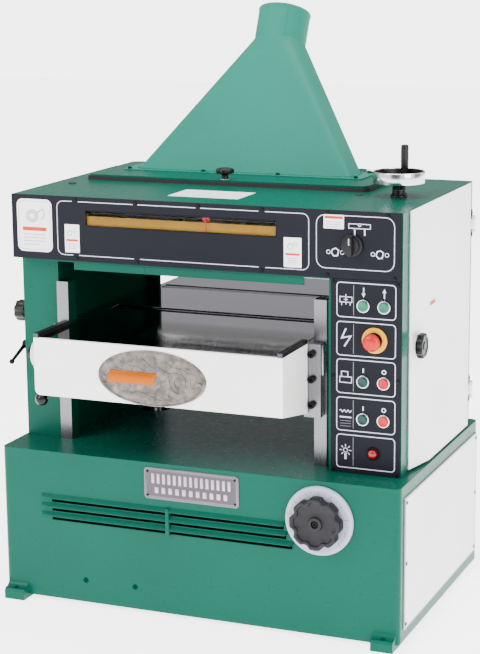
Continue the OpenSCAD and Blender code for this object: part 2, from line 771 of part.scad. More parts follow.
module chip_hood() color(green)
    difference() {
        union() {
            block([flange_x[0], flange_y[0], cover_z + cover_t],
                  [flange_x[1], flange_y[1], cover_z + cover_t + flange_t]);
            hood_skin(0, 0, port_d / 2 - 0.5, -1);
            translate(port_at) rotate([-port_tilt, 0, 0]) translate([0, 0, -0.5])
                cylinder(r = port_d / 2, h = port_l + 0.5);
        }
        hood_skin(hood_wall, 1, port_d / 2 - hood_wall - 2, 0);
        translate(port_at) rotate([-port_tilt, 0, 0]) translate([0, 0, -1])
            cylinder(r = port_d / 2 - hood_wall, h = port_l + 4);
    }

module cover_knob() color(black)
    translate([knob_at[0], knob_at[1], 0]) {
        difference() {
            translate([0, 0, 994]) cylinder(r = 22, h = 13);
            for (a = [0:60:300])
                rotate([0, 0, a]) translate([27, 0, 993]) cylinder(r = 9, h = 15);
        }
        translate([0, 0, cover_z + cover_t + gap]) cylinder(r = 9, h = 995 - cover_z - cover_t - gap);
        translate([0, 0, head_top - 8]) cylinder(r = 5, h = 30);
    }

// ---- doors, latches and hinges ----

module slab(points, z) {
    translate([0, 0, z]) linear_extrude(1) polygon(points);
}

module right_door() color(white)
    difference() {
        x = body_right + gap;
        y0 = right_door_y[0];
        y1 = right_door_y[1];
        union() {
            hull() {
                slab([[x, y0], [x + door_t, y0], [x + 22, y0 + 96], [x + 22, y1 - 66],
                      [x + door_t, y1], [x, y1]], right_door_z[0]);
                slab([[x, y0], [x + door_t, y0], [x + door_t, y1], [x, y1]], right_door_z[1] - 1);
            }
            rod_x(x + 1, right_latch_x - gap, right_latch_at[0], right_latch_at[1], 20);
            for (z = right_hinges_z) {
                block([x, y1 - 10, z - 12], [x + door_t, right_pin[1], z + 12]);
                rod_z(z - 12, z + 12, right_pin[0], right_pin[1], 6);
            }
        }
        hull() {
            slab([[x - 1, y0 + 16], [x + 19, y0 + 98], [x + 19, y1 - 70], [x - 1, y1 - 12]],
                 right_door_z[0] + door_t);
            slab([[x - 1, y0 + 60], [x + 0.2, y0 + 60], [x + 0.2, y1 - 60], [x - 1, y1 - 60]],
                 right_door_z[1] - 30);
        }
        for (z = right_hinges_z) rod_z(z - 13, z + 13, right_pin[0], right_pin[1], 3 + running);
        rod_x(x - 1, x + 30, right_latch_at[0], right_latch_at[1], 5 + running);
    }

module latch(r, t, stud) {
    difference() {
        cylinder(r = r, h = t);
        for (a = [0:45:315])
            rotate([0, 0, a]) translate([r + 3, 0, -1]) cylinder(r = 6, h = t + 2);
    }
    translate([0, 0, -stud]) cylinder(r = 5, h = stud + eps);
}

module right_latch() color(black)
    translate([right_latch_x, right_latch_at[0], right_latch_at[1]])
        rotate([0, 90, 0]) latch(29, 16, 24);

module left_door() color(green)
    difference() {
        union() {
            block([body_left - gap - door_t, left_door_y[0], left_door_z[0]],
                  [body_left - gap, left_door_y[1], left_door_z[1]]);
            for (z = left_hinges_z) {
                block([body_left - gap - door_t, left_door_y[1] - 10, z - 12],
                      [body_left - gap, left_pin[1], z + 12]);
                rod_z(z - 12, z + 12, left_pin[0], left_pin[1], 6);
            }
        }
        for (z = left_hinges_z) rod_z(z - 13, z + 13, left_pin[0], left_pin[1], 3 + running);
        rod_x(body_left - 10, body_left + 1, left_latch_at[0], left_latch_at[1], 5 + running);
    }

module left_latch() color(black)
    translate([body_left - gap - door_t - gap, left_latch_at[0], left_latch_at[1]])
        rotate([0, -90, 0]) latch(26, 28, 18);

module upright_pin(x, y, z, to_x) {
    rod_z(z - 20, z + 20, x, y, 3);
    for (e = [z - 20, z + 12 + gap]) {
        rod_z(e, e + 7.6, x, y, 6);
        block([min(x, to_x), y, e], [max(x, to_x), y + 5, e + 7.6]);
    }
}

module hinge_pins() color(steel) {
    for (z = right_hinges_z) upright_pin(right_pin[0], right_pin[1], z, body_right);
    for (z = left_hinges_z) upright_pin(left_pin[0], left_pin[1], z, body_left);
    for (x = cover_pins_x) {
        rod_x(x - 30, x + 30, cover_pin[0], cover_pin[1], 3);
        for (e = [x - 30, x + 20 + gap]) {
            rod_x(e, e + 9.6, cover_pin[0], cover_pin[1], 5);
            block([e, body_rear, cover_pin[1] - 40], [e + 9.6, body_rear + 5, cover_pin[1]]);
        }
    }
}

// ---- knobs and buttons ----

module dial_ring() color([0.72, 0.73, 0.8])
    translate([dial_at[0], dial_y, dial_at[1]])
        rotate([90, 0, 0])
            rotate_extrude()
                polygon([[9, 0], [dial_d / 2, 0], [dial_d / 2, 6], [dial_d / 2 - 4, 10],
                         [dial_d / 2 - 26, 10], [dial_d / 2 - 30, 6], [9, 6]]);

module speed_knob() color(black)
    translate([dial_at[0], dial_y, dial_at[1]])
        rotate([90, 0, 0]) {
            difference() {
                translate([0, 0, 11]) cylinder(r = 60, h = 26);
                for (a = [22.5:45:337.5])
                    rotate([0, 0, a]) translate([66, 0, 10]) cylinder(r = 13, h = 28);
                translate([0, 0, 29]) cylinder(r = 40, h = 9);
            }
            translate([0, 0, 6 + gap]) cylinder(r = 30, h = 8);
            translate([0, 0, 28]) cylinder(r = 16, h = 7);
            translate([0, 0, -30]) cylinder(r = 8, h = 38);
        }

module selector_knob() color(black)
    translate([selector_at[0], fascia_y - gap, selector_at[1]])
        rotate([90, 0, 0]) {
            cylinder(r = 25, h = 8);
            cylinder(r = 19, h = 14);
            translate([-6, -22, 7]) cube([12, 44, 19]);
            translate([0, 0, -18]) cylinder(r = 5, h = 18 + eps);
        }

module push_button(at) {
    rod_y(fascia_y - 9, body_front, at[0], at[1], 11);
    rod_y(body_front - 1, body_front + 18, at[0], at[1], 6);
}

module stop_button() color([0.85, 0.1, 0.15])
    translate([stop_at[0], fascia_y - 20, stop_at[1]])
        rotate([90, 0, 0]) {
            rotate_extrude()
                polygon([[0, 0], [18, 0], [20, 4], [19, 9], [13, 13], [0, 15]]);
            translate([0, 0, -24]) cylinder(r = 11, h = 24 + eps);
            translate([0, 0, -42]) cylinder(r = 6, h = 20);
        }

module button_up() color([0.2, 0.6, 0.45]) push_button(button_ats[1]);
module button_down() color([0.2, 0.6, 0.45]) push_button(button_ats[0]);
module button_drive_on() color([0.2, 0.6, 0.45]) push_button(button_ats[2]);
module button_drive_off() color([0.8, 0.2, 0.22]) push_button(button_ats[3]);
module button_feed_on() color([0.2, 0.6, 0.45]) push_button(button_ats[4]);
module button_feed_off() color([0.8, 0.2, 0.22]) push_button(button_ats[5]);

base_frame();
base_side_panel();
panel_screws();
left_column();
right_column();
guide_rails();
head_shell();
head_plates();
fascia();
window_lens();
depth_scale();
control_panel();
button_bezels();
power_lamp();
pressure_bar();
chip_breaker();
bearings();
drive_belts();
main_motor();
feed_gearmotor();
feed_chain();
dial_ring();
cover_seal();
hinge_pins();
table_casting();
table_apron();
slide_blocks();
gib_set();
table_badge();
lever_disc();
bed_roller_front();
bed_roller_rear();
bed_roller_lever();
table_lock_lever();
elevation_screw_left();
elevation_screw_right();
elevation_wheel();
wheel_grip();
scale_pointer();
cutterhead();
motor_pulley();
infeed_roller();
outfeed_roller();
kickback_fingers();
top_cover();
chip_hood();
cover_knob();
right_door();
right_latch();
left_door();
left_latch();
selector_knob();
speed_knob();
button_up();
button_down();
button_drive_on();
button_drive_off();
button_feed_on();
button_feed_off();
stop_button();
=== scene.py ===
"""Looks of the floor-standing thickness planer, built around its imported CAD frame. Metres."""

from math import cos, pi, radians, sin, sqrt

import bmesh
import bpy
from mathutils import Matrix, Vector


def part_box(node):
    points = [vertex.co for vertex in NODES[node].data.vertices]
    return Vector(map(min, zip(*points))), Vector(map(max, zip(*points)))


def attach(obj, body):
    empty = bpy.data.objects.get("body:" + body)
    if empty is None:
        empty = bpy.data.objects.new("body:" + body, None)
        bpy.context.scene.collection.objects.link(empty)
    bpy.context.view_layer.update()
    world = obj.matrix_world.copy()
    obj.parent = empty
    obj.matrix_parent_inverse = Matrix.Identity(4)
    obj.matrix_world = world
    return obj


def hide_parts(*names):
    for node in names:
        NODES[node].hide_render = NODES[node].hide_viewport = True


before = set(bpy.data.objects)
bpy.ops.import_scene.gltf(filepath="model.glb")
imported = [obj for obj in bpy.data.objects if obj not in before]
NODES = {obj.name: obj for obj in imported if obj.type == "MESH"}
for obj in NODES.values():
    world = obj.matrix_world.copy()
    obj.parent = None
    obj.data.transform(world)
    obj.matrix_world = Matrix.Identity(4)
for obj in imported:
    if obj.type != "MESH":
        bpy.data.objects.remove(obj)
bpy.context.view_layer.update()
MM = 0.001

# ---- materials


def rgb(hex_code):
    """Linear colour from an sRGB hex code."""
    out = []
    for i in (0, 2, 4):
        c = int(hex_code[i : i + 2], 16) / 255
        out.append(c / 12.92 if c <= 0.04045 else ((c + 0.055) / 1.055) ** 2.4)
    return (*out, 1.0)


def connect(tree, value, socket):
    """Give a socket a plain value or another node's output."""
    if isinstance(value, bpy.types.NodeSocket):
        tree.links.new(value, socket)
    else:
        socket.default_value = value


def new_node(tree, kind, **inputs):
    """Add a shader node with some of its inputs."""
    node = tree.nodes.new("ShaderNode" + kind)
    for key, value in inputs.items():
        connect(tree, value, node.inputs[key.replace("_", " ")])
    return node


class Mat:
    """A node material around one Principled shader, in object space metres."""

    def __init__(self, name, colour, rough=0.5, metal=0.0, **sockets):
        self.m = bpy.data.materials.new(name)
        self.m.use_nodes = True
        self.t = self.m.node_tree
        self.b = self.t.nodes["Principled BSDF"]
        self.colour = rgb(colour)
        self.m.diffuse_color = self.colour
        self.set(Base_Color=self.colour, Roughness=rough, Metallic=metal)
        self.set(**sockets)
        self.normal = None
        self.co = self.node("TexCoord").outputs["Object"]

    def set(self, **sockets):
        """Give the shader's sockets plain values or other nodes' outputs."""
        for key, value in sockets.items():
            connect(self.t, value, self.b.inputs[key.replace("_", " ")])
        return self

    def node(self, kind, **inputs):
        return new_node(self.t, kind, **inputs)

    def noise(self, scale, detail=4, rough=0.5, stretch=None, distortion=0.0):
        co = self.node("Mapping", Vector=self.co, Scale=stretch).outputs["Vector"] if stretch else self.co
        return self.node("TexNoise", Vector=co, Scale=scale, Detail=detail, Roughness=rough,
            Distortion=distortion).outputs["Fac"]

    def ramp(self, value, stops):
        node = self.node("ValToRGB", Fac=value)
        e = node.color_ramp.elements
        while len(e) < len(stops):
            e.new(0.5)
        for item, (at, colour) in zip(e, stops):
            item.position, item.color = at, colour
        return node.outputs["Color"]

    def grey(self, value, lo, hi, a=0.35, b=0.65):
        """value from a to b stretched to lo to hi."""
        return self.node("MapRange", Value=value, From_Min=a, From_Max=b, To_Min=lo,
            To_Max=hi).outputs["Result"]

    def colour_mix(self, kind, fac, a, b):
        """Base colour from two colours or outputs."""
        node = self.node("Mix")
        node.data_type = "RGBA"
        node.blend_type = kind
        for i, value in ((0, fac), (6, a), (7, b)):
            connect(self.t, value, node.inputs[i])
        return self.set(Base_Color=node.outputs[2])

    def tint(self, fac, darker, lighter):
        """Base colour varies between two factors of the main colour."""
        return self.colour_mix("MIX", fac, *[(*[min(1, c * k) for c in self.colour[:3]], 1)
            for k in (darker, lighter)])

    def darkened(self, y0, y1, low):
        """Darken the base colour from low at depth y0 to full at y1, in metres: a painted dark reflection."""
        split = self.node("SeparateXYZ", Vector=self.co)
        stops = [(0, (low, low, low, 1)), (0.6, (0.35, 0.34, 0.36, 1)), (1, (1, 1, 1, 1))]
        ramp = self.ramp(self.grey(split.outputs["Y"], 0, 1, y0, y1), stops)
        return self.colour_mix("MULTIPLY", 1, self.b.inputs["Base Color"].links[0].from_socket, ramp)

    def lean(self, node):
        """Use a node's normal from here on."""
        self.normal = node.outputs["Normal"]
        return self.set(Normal=self.normal)

    def bump(self, height, strength=0.3, distance=0.001):
        below = {"Normal": self.normal} if self.normal else {}
        return self.lean(self.node("Bump", Height=height, Strength=strength, Distance=distance, **below))

    def soft_edges(self, radius=0.0015):
        node = self.node("Bevel", Radius=radius)
        node.samples = 4
        return self.lean(node)


def enamel(name, colour, rough=0.32, grain=420, depth=0.008, edge=0.0015, coat=0.0, gloss=0.09):
    """Sprayed machine enamel: orange peel, slow colour drift, soft edges."""
    s = Mat(name, colour, rough, Coat_Weight=coat, Coat_Roughness=0.1, Specular_IOR_Level=gloss)
    s.soft_edges(edge)
    drift = s.noise(3.2, 3)
    s.tint(s.grey(drift, 0, 1), 0.95, 1.05)
    s.set(Roughness=s.grey(s.noise(60, 3), rough - 0.03, rough + 0.04))
    s.bump(s.noise(grain, 2, 0.6), depth, 0.0004)
    return s.m


def ground_iron(name, colour, rough, way, painted_dark_reflection=None):
    """Ground iron: fine parallel scratches along one axis, faint stains, and where asked a painted dark
    reflection over one band of depth.
    """
    s = Mat(name, colour, rough, 1.0)
    s.soft_edges(0.001)
    lines = s.noise(1.0, 3, 0.6, tuple(6 if w else 900 for w in way))
    stains = s.noise(7, 5, 0.6)
    s.tint(s.grey(stains, 0, 1), 0.93, 1.03)
    # painted reflection: the base colour goes dark towards the front, standing for the dark head mirrored in
    # the table
    if painted_dark_reflection:
        s.darkened(*painted_dark_reflection, 0.05)
    both = s.node("Math")
    for value, socket in zip((s.grey(lines, rough - 0.02, rough + 0.03), s.grey(stains, -0.01, 0.02)),
            both.inputs):
        connect(s.t, value, socket)
    s.set(Roughness=both.outputs["Value"])
    s.bump(lines, 0.02, 0.0002)
    return s.m


def satin(name, colour):
    """Ground and lacquered plate: pale, softly glossy, with fine long scratches."""
    s = Mat(name, colour, 0.46, 0.25, Specular_IOR_Level=0.4)
    s.soft_edges(0.0015)
    lines = s.noise(1.0, 3, 0.6, (6, 900, 900))
    s.tint(s.grey(s.noise(5, 4), 0, 1), 0.96, 1.02)
    s.set(Roughness=s.grey(lines, 0.38, 0.54))
    s.bump(lines, 0.06, 0.0002)
    return s.m


def turned(name, colour, rough, axis="X"):
    """Turned metal: rings round one axis."""
    s = Mat(name, colour, rough, 1.0)
    s.soft_edges(0.0008)
    rings = s.noise(1.0, 2, 0.5, tuple(1400 if axis == way else 4 for way in "XYZ"))
    s.tint(s.grey(s.noise(14, 4), 0, 1), 0.88, 1.05)
    s.set(Roughness=s.grey(rings, rough - 0.06, rough + 0.08))
    s.bump(rings, 0.1, 0.0002)
    return s.m


def cast(name, colour):
    """Rough casting skin."""
    s = Mat(name, colour, 0.62, 0.35)
    s.soft_edges(0.002)
    s.tint(s.grey(s.noise(22, 5), 0, 1), 0.75, 1.15)
    s.bump(s.noise(260, 5, 0.65), 0.5, 0.0012)
    return s.m


def plastic(name, colour, rough=0.42, grain=700, depth=0.12, **k):
    """Moulded plastic: fine spark-eroded texture and faint handling marks."""
    s = Mat(name, colour, rough, Specular_IOR_Level=0.22, **k)
    s.tint(s.grey(s.noise(30, 4), 0, 1), 0.9, 1.08)
    s.set(Roughness=s.grey(s.noise(120, 4), rough - 0.07, rough + 0.08))
    s.bump(s.noise(grain, 3), depth, 0.0004)
    return s.m


def rubbery(name, colour):
    """Moulded rubber with a fine pebbled skin."""
    s = Mat(name, colour, 0.75)
    s.tint(s.grey(s.noise(40, 4), 0, 1), 0.8, 1.3)
    s.bump(s.node("TexVoronoi", Vector=s.co, Scale=500).outputs["Distance"], 0.3, 0.0008)
    return s.m


def printed(name, colour, rough=0.45):
    """Printed foil or paint film."""
    s = Mat(name, colour, rough, Specular_IOR_Level=0.2)
    s.tint(s.grey(s.noise(90, 3), 0, 1), 0.96, 1.03)
    s.bump(s.noise(900, 2), 0.06, 0.0003)
    return s.m


GREEN = enamel("green_enamel", "00483A", 0.3)
# a lighter copy of the green enamel for the hood, standing for the extra light on its upward-facing slope:
# painted light
HOOD = enamel("hood_green_lit_copy", "1B6858", 0.3)
# Dark green enamel of the screws, studs and head plates; the same colour on the left column's inner wall is
# painted shade, and on the rails' inner sides it is painted reflection
DEEP = enamel("deep_green_and_painted_shade", "003425", 0.6, gloss=0.0)
WHITE = enamel("white_enamel", "E9E9EA", 0.42, grain=520, depth=0.12, edge=0.002, coat=0.1, gloss=0.4)
CHARCOAL = enamel("charcoal_panel", "17181E", 0.4, grain=900, depth=0.05, edge=0.0008, gloss=0.06)
MOTOR = enamel("motor_grey", "4A4E55", 0.5, grain=300, depth=0.2)
# the table's front is painted nearly black: a painted reflection of the dark underside of the head
TABLE = ground_iron("ground_table", "8C8596", 0.07, (0, 1, 0), painted_dark_reflection=(-0.205, -0.105))
APRON = satin("satin_apron", "EDECEA")
RAIL = ground_iron("ground_rail", "6F6D72", 0.26, (0, 0, 1))
STEEL = turned("turned_steel", "B8B8BA", 0.24)
STEEL_Z = turned("turned_steel_upright", "A9A9AC", 0.28, axis="Z")
IRON = cast("cast_iron", "3E4043")
CHROME = turned("chromed_steel", "D5D7DB", 0.09, axis="Z")
GIB = ground_iron("gib_iron", "4A4345", 0.42, (0, 0, 1))
BLACK = plastic("black_plastic", "0E0E10", 0.36)
BLACK_OXIDE = plastic("black_oxide", "101012", 0.42, Metallic=0.6)
DIAL_GREY = plastic("grey_plastic", "A5A8B6", 0.45)
WHITE_PLASTIC = plastic("white_plastic", "C9C9C8", 0.38)
RED = plastic("red_plastic", "B4000C", 0.25, 300, 0.05, Coat_Weight=0.12)
LAMP = plastic("red_lamp", "7A0004", 0.15, 300, 0.05, Coat_Weight=0.6)
YELLOW = plastic("yellow_plastic", "D89A00", 0.35)
SCALE = printed("yellow_scale", "986A00")
INK = printed("white_ink", "C4C3D2")
DARK_INK = printed("black_ink", "111114")
LABEL = printed("white_label", "ECECEE", 0.35)
RUBBER = rubbery("black_rubber", "0C0C0D")


def glass():
    """Thin clear window; a low index keeps the scale behind it easy to see."""
    s = Mat("window_glass", "F4F8FA", 0.02, Transmission_Weight=1.0, IOR=1.12)
    s.set(Roughness=s.grey(s.noise(30, 3), 0.01, 0.02))
    return s.m


def badge_metal():
    """Antique cast plate: dark hollows, rubbed high spots."""
    s = Mat("antique_plate", "8B8486", 0.4, 0.75)
    relief = s.noise(60, 6, 0.6, distortion=0.4)
    s.set(Base_Color=s.ramp(relief, [(0.3, rgb("413C3A")), (0.5, rgb("5C5652")), (0.72, rgb("7C7570"))]))
    s.bump(relief, 0.55, 0.0016)
    return s.m


GLASS = glass()
BADGE = badge_metal()
CHROME_Y = turned("bright_collar", "DCDDE2", 0.16, axis="Y")
DARK_GREEN = plastic("dark_green_plastic", "02302A", 0.28, 300, 0.05, Coat_Weight=0.12)
LIGHT_GREEN = plastic("light_green_plastic", "006B4C", 0.28, 300, 0.05, Coat_Weight=0.12)
GREY_INK = printed("grey_ink", "4E5058")
DIAL_BLACK = plastic("dial_black", "17161A", 0.5)
DARK_DISH = plastic("dark_dish", "131216", 0.35)
HUB_BLACK = plastic("hub_black", "141317", 0.3)
BLACK_GLOSS = plastic("phenolic_ball", "08080A", 0.2, 300, 0.03, Coat_Weight=0.04)
COPPER = turned("rubbed_copper", "9A5012", 0.36, axis="Y")
PLATE = turned("name_plate_alloy", "6E6770", 0.42, axis="Y")
PLATE_LIGHT = turned("name_plate_raised", "A69EA6", 0.4, axis="Y")
PLATE_DARK = printed("name_plate_field", "4F4850", 0.5)
ORANGE = printed("orange_band", "BC3008")
FAINT_INK = printed("faint_ink", "85868C")
PALE_INK = printed("pale_ink", "C9CBD0")
ROLLER = turned("roller_steel", "77777C", 0.2, axis="X")
PANEL_EDGE = enamel("panel_edge", "A9A9B0", 0.4, grain=520, depth=0.2)


def paint(material, *nodes):
    """One finish on whole CAD nodes."""
    for n in nodes:
        mesh = NODES[n].data
        mesh.materials.clear()
        mesh.materials.append(material)


paint(GREEN, "base_frame", "left_column", "right_column", "head_shell", "top_cover", "left_door")
paint(DEEP, "head_plates")
paint(WHITE, "base_side_panel", "right_door")
paint(CHARCOAL, "fascia", "control_panel")
paint(BLACK_OXIDE, "panel_screws", "table_lock_lever")
paint(RAIL, "guide_rails", "slide_blocks")
paint(GLASS, "window_lens")
paint(SCALE, "depth_scale")
paint(STEEL, "pressure_bar", "cutterhead", "bed_roller_front", "bed_roller_rear", "infeed_roller",
    "outfeed_roller", "hinge_pins")
paint(IRON, "chip_breaker", "bearings", "feed_chain", "motor_pulley", "kickback_fingers")
paint(MOTOR, "main_motor", "feed_gearmotor")
paint(RUBBER, "drive_belts", "cover_seal")
paint(TABLE, "table_casting")
paint(APRON, "table_apron")
paint(STEEL_Z, "elevation_screw_left", "elevation_screw_right")
paint(GIB, "gib_set")
paint(RED, "scale_pointer")
paint(HOOD, "chip_hood")

# ---- piece builder, in millimetres

PLACE = {"X": lambda u, v, t: (t, u, v), "Y": lambda u, v, t: (u, t, v), "Z": lambda u, v, t: (u, v, t)}


def circle(r, at=(0, 0), steps=32, start=0.0, end=2 * pi, closed=True):
    """Points of a circle, or of an arc with both its ends when closed is off."""
    n = steps if closed else steps + 1
    turns = [start + (end - start) * i / steps for i in range(n)]
    return [(at[0] + r * cos(a), at[1] + r * sin(a)) for a in turns]


def rounded(x0, y0, x1, y1, r, steps=6):
    """Outline of a rectangle with round corners."""
    out = []
    for (cx, cy), a in zip([(x1 - r, y0 + r), (x1 - r, y1 - r), (x0 + r, y1 - r), (x0 + r, y0 + r)],
            (-0.5, 0, 0.5, 1)):
        out += circle(r, (cx, cy), steps, a * pi, (a + 0.5) * pi, closed=False)
    return out


def fluted(depth, count, power=1.0):
    """Radius factor with count rounded grooves, for lathe()."""
    return lambda a: 1 - depth * (0.5 + 0.5 * cos(count * a)) ** power


def scooped(r, at, scoop, count, start=0.0):
    """Radius factor of a disc of radius r with round scoops cut at radius at."""
    def k(a):
        step = 2 * pi / count
        d = (a - start + step / 2) % step - step / 2
        side = at * sin(d)
        if abs(side) >= scoop:
            return 1.0
        return min(1.0, (at * cos(d) - sqrt(scoop * scoop - side * side)) / r)
    return k


def closer(loop, gap):
    """Points added to a closed loop of vectors until none are more than two gaps apart."""
    out = []
    for a, b in zip(loop, loop[1:] + loop[:1]):
        steps = max(1, int((b - a).length / gap))
        out += [a.lerp(b, k / steps) for k in range(steps)]
    return out


class Piece:
    """One mesh piece: shapes are added in millimetres, and done() gives it to its body."""

    def __init__(self, name, body, slot, *mats):
        self.name, self.body, self.slot, self.mats = name, body, slot, mats
        self.bm = bmesh.new()
        self.turn = Matrix.Identity(4)

    def loft(self, rings, mat=0, wrap=False):
        """Skin over rings of equal length; a ring of one point is a tip."""
        rows = [[self.bm.verts.new(self.turn @ Vector(p)) for p in ring] for ring in rings]
        made = []
        for a, b in list(zip(rows, rows[1:])) + ([(rows[-1], rows[0])] if wrap else []):
            n = max(len(a), len(b))
            for i in range(n):
                j = (i + 1) % n
                if len(a) == 1:
                    corners = [a[0], b[j], b[i]]
                elif len(b) == 1:
                    corners = [a[i], a[j], b[0]]
                else:
                    corners = [a[i], a[j], b[j], b[i]]
                made.append(self.bm.faces.new(corners))
        if not wrap:
            made += [self.bm.faces.new(row) for row in (rows[0], rows[-1]) if len(row) > 2]
        for f in made:
            f.material_index = mat
        return made

    def lathe(self, profile, at=(0, 0), axis="Z", steps=48, shape=None, mat=0, wrap=False):
        """profile holds (radius, height) or (radius, height, how much of shape)."""
        rings = []
        for r, t, *s in profile:
            if r == 0:
                rings.append([PLACE[axis](at[0], at[1], t)])
                continue
            ring = []
            for i in range(steps):
                a = 2 * pi * i / steps
                k = 1 + (shape(a) - 1) * (s[0] if s else 0) if shape else 1
                ring.append(PLACE[axis](at[0] + r * k * cos(a), at[1] + r * k * sin(a), t))
            rings.append(ring)
        self.loft(rings, mat, wrap)

    def soften(self, faces, bevel, segments, mat):
        """Round every edge of the given faces."""
        if bevel:
            edges = list({e for f in faces for e in f.edges})
            out = bmesh.ops.bevel(self.bm, geom=edges, offset=bevel, segments=segments, affect="EDGES",
                profile=0.5, clamp_overlap=True)
            for f in out["faces"]:
                f.material_index = mat

    def prism(self, outline, axis, t0, t1, bevel=0.0, mat=0, segments=2):
        """A flat shape with thickness; bevel rounds the edges of its two ends."""
        made = self.loft([[PLACE[axis](u, v, t) for u, v in outline] for t in (t0, t1)], mat)
        self.soften(made[-2:], bevel, segments, mat)

    def box(self, a, b, bevel=0.0, mat=0, segments=2):
        foot = [(a[0], a[1]), (b[0], a[1]), (b[0], b[1]), (a[0], b[1])]
        made = self.loft([[(x, y, z) for x, y in foot] for z in (a[2], b[2])], mat)
        self.soften(made, bevel, segments, mat)

    def stroke(self, path, width, axis, t0, t1, closed=False, mat=0):
        """A flat line of a given width along a path."""
        n = len(path)
        left, right = [], []
        for i, p in enumerate(path):
            before = path[i - 1] if i or closed else p
            after = path[(i + 1) % n] if i < n - 1 or closed else p
            d1 = Vector((p[0] - before[0], p[1] - before[1])).normalized()
            d2 = Vector((after[0] - p[0], after[1] - p[1])).normalized()
            d = (d1 if d1.length else d2) + (d2 if d2.length else d1)
            d = d.normalized() if d.length > 1e-6 else d1
            half = width / 2 / max(0.5, d.dot(d1 if d1.length else d))
            left.append((p[0] - d.y * half, p[1] + d.x * half))
            right.append((p[0] + d.y * half, p[1] - d.x * half))
        put = PLACE[axis]
        rows = [[put(*le, t0), put(*le, t1), put(*ri, t1), put(*ri, t0)] for le, ri in zip(left, right)]
        self.loft(rows, mat, wrap=closed)

    def tube(self, points, radius, steps=12, mat=0, wrap=False):
        """Round bar through points; radius is one number or one per point."""
        pts = [Vector(p) for p in points]
        radii = radius if isinstance(radius, (list, tuple)) else [radius] * len(pts)
        side = None
        rings = []
        for i, (p, r) in enumerate(zip(pts, radii)):
            d = (pts[min(i + 1, len(pts) - 1)] - pts[max(i - 1, 0)]).normalized()
            side = d.orthogonal().normalized() if side is None else (side - d * side.dot(d)).normalized()
            up = d.cross(side)
            rings.append([p + c * side + s * up for c, s in circle(r, steps=steps)])
        self.loft(rings, mat, wrap=wrap)

    def number(self, text, at, size, t, rise=0.2):
        """A generic number standing rise proud of the front surface at t."""
        curve = bpy.data.curves.new("number", "FONT")
        curve.body = text
        curve.size = size
        curve.align_x = curve.align_y = "CENTER"
        curve.resolution_u = 3
        o = bpy.data.objects.new("number", curve)
        mesh = o.to_mesh()
        flat = bmesh.new()
        flat.from_mesh(mesh)
        grown = bmesh.ops.extrude_face_region(flat, geom=flat.faces[:])
        for v in (g for g in grown["geom"] if isinstance(g, bmesh.types.BMVert)):
            v.co.z = rise
        put = {v: self.bm.verts.new((at[0] + v.co.x, t - v.co.z, at[1] + v.co.y)) for v in flat.verts}
        for f in flat.faces:
            self.bm.faces.new([put[v] for v in f.verts])
        flat.free()
        o.to_mesh_clear()
        bpy.data.objects.remove(o)
        bpy.data.curves.remove(curve)

    def done(self, *replaced, angle=32, merge=0.0):
        """Shade it, scale it to metres and set its body and the CAD nodes that it replaces."""
        bm = self.bm
        if merge:
            bmesh.ops.remove_doubles(bm, verts=bm.verts[:], dist=merge)
        bmesh.ops.recalc_face_normals(bm, faces=bm.faces[:])
        limit = radians(angle)
        for f in bm.faces:
            f.smooth = True
        for e in bm.edges:
            e.smooth = len(e.link_faces) == 2 and e.calc_face_angle(0) < limit
        bmesh.ops.scale(bm, vec=(MM, MM, MM), verts=bm.verts[:])
        mesh = bpy.data.meshes.new(self.name)
        bm.to_mesh(mesh)
        bm.free()
        for m in self.mats:
            mesh.materials.append(m)
        o = bpy.data.objects.new(self.name, mesh)
        bpy.context.scene.collection.objects.link(o)
        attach(o, self.body)
        if replaced:
            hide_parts(*replaced)


def paint_where(node, material, test):
    """A second finish on the faces of a CAD node whose centre passes the test."""
    mesh = NODES[node].data
    mesh.materials.append(material)
    for f in mesh.polygons:
        if test(f.center / MM):
            f.material_index = len(mesh.materials) - 1


# ---- where the CAD puts things


def span(node):
    """Lowest and highest corner of a CAD node, in millimetres."""
    lo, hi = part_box(node)
    return [v / MM for v in lo], [v / MM for v in hi]


def middle(node):
    """Centre of a CAD node's box, in millimetres."""
    lo, hi = span(node)
    return [(a + b) / 2 for a, b in zip(lo, hi)]


FACE = span("fascia")[0][1]            # front face of fascia and control panel
INK_T = 0.25                           # thickness of printed lines
DIAL = middle("dial_ring")
WHEEL = (383, 10)
HEAD_REAR = 322
COVER_TOP = 980
COVER_KNOB = (-72, 64)                 # x and y
BASE_FRONT, BASE_REAR = -316, 316
LEFT_DOOR, RIGHT_DOOR = -494.4, 473.4   # outer faces, the right one at its foremost edge
BADGE_BACK = -385                      # front face of the apron, which carries the badge
LOUVRES = ((249, 223), (227, 229), (205, 244))     # height and right-hand end of each
LEVER = (-350, 618)                    # y and z of the bed-roller lever
LOCK = (-172, 590)                     # y and z of the table lock
SELECTOR = (356, 890)                  # x and z of the rotary selector
CUTTER = (145, 840)                    # y and z of the cutterhead
FINGER_ROD = (-85, 850)                # y and z of the rod that carries the kickback fingers

# ---- chip hood and top cover

HOOD_FOOT = (-357, 169, 213, 256)      # where the hood's skin meets its flange
PORT = Vector((-72, 432, 1281))        # centre of the hose collar's lower end
TILT = radians(25.3)                   # how far the collar leans back
PORT_U, PORT_V = Vector((1, 0, 0)), Vector((0, cos(TILT), -sin(TILT)))
PORT_W = Vector((0, sin(TILT), cos(TILT)))


def port_ring(r, along, count=17):
    """Ring on the hose collar, its quarter points doubled for the flat sides below."""
    out = []
    for q in range(4):
        for i in range(count):
            a = pi / 2 * (q - 1 + i / (count - 1))
            out.append(PORT + PORT_W * along + r * (cos(a) * PORT_U + sin(a) * PORT_V))
    return out


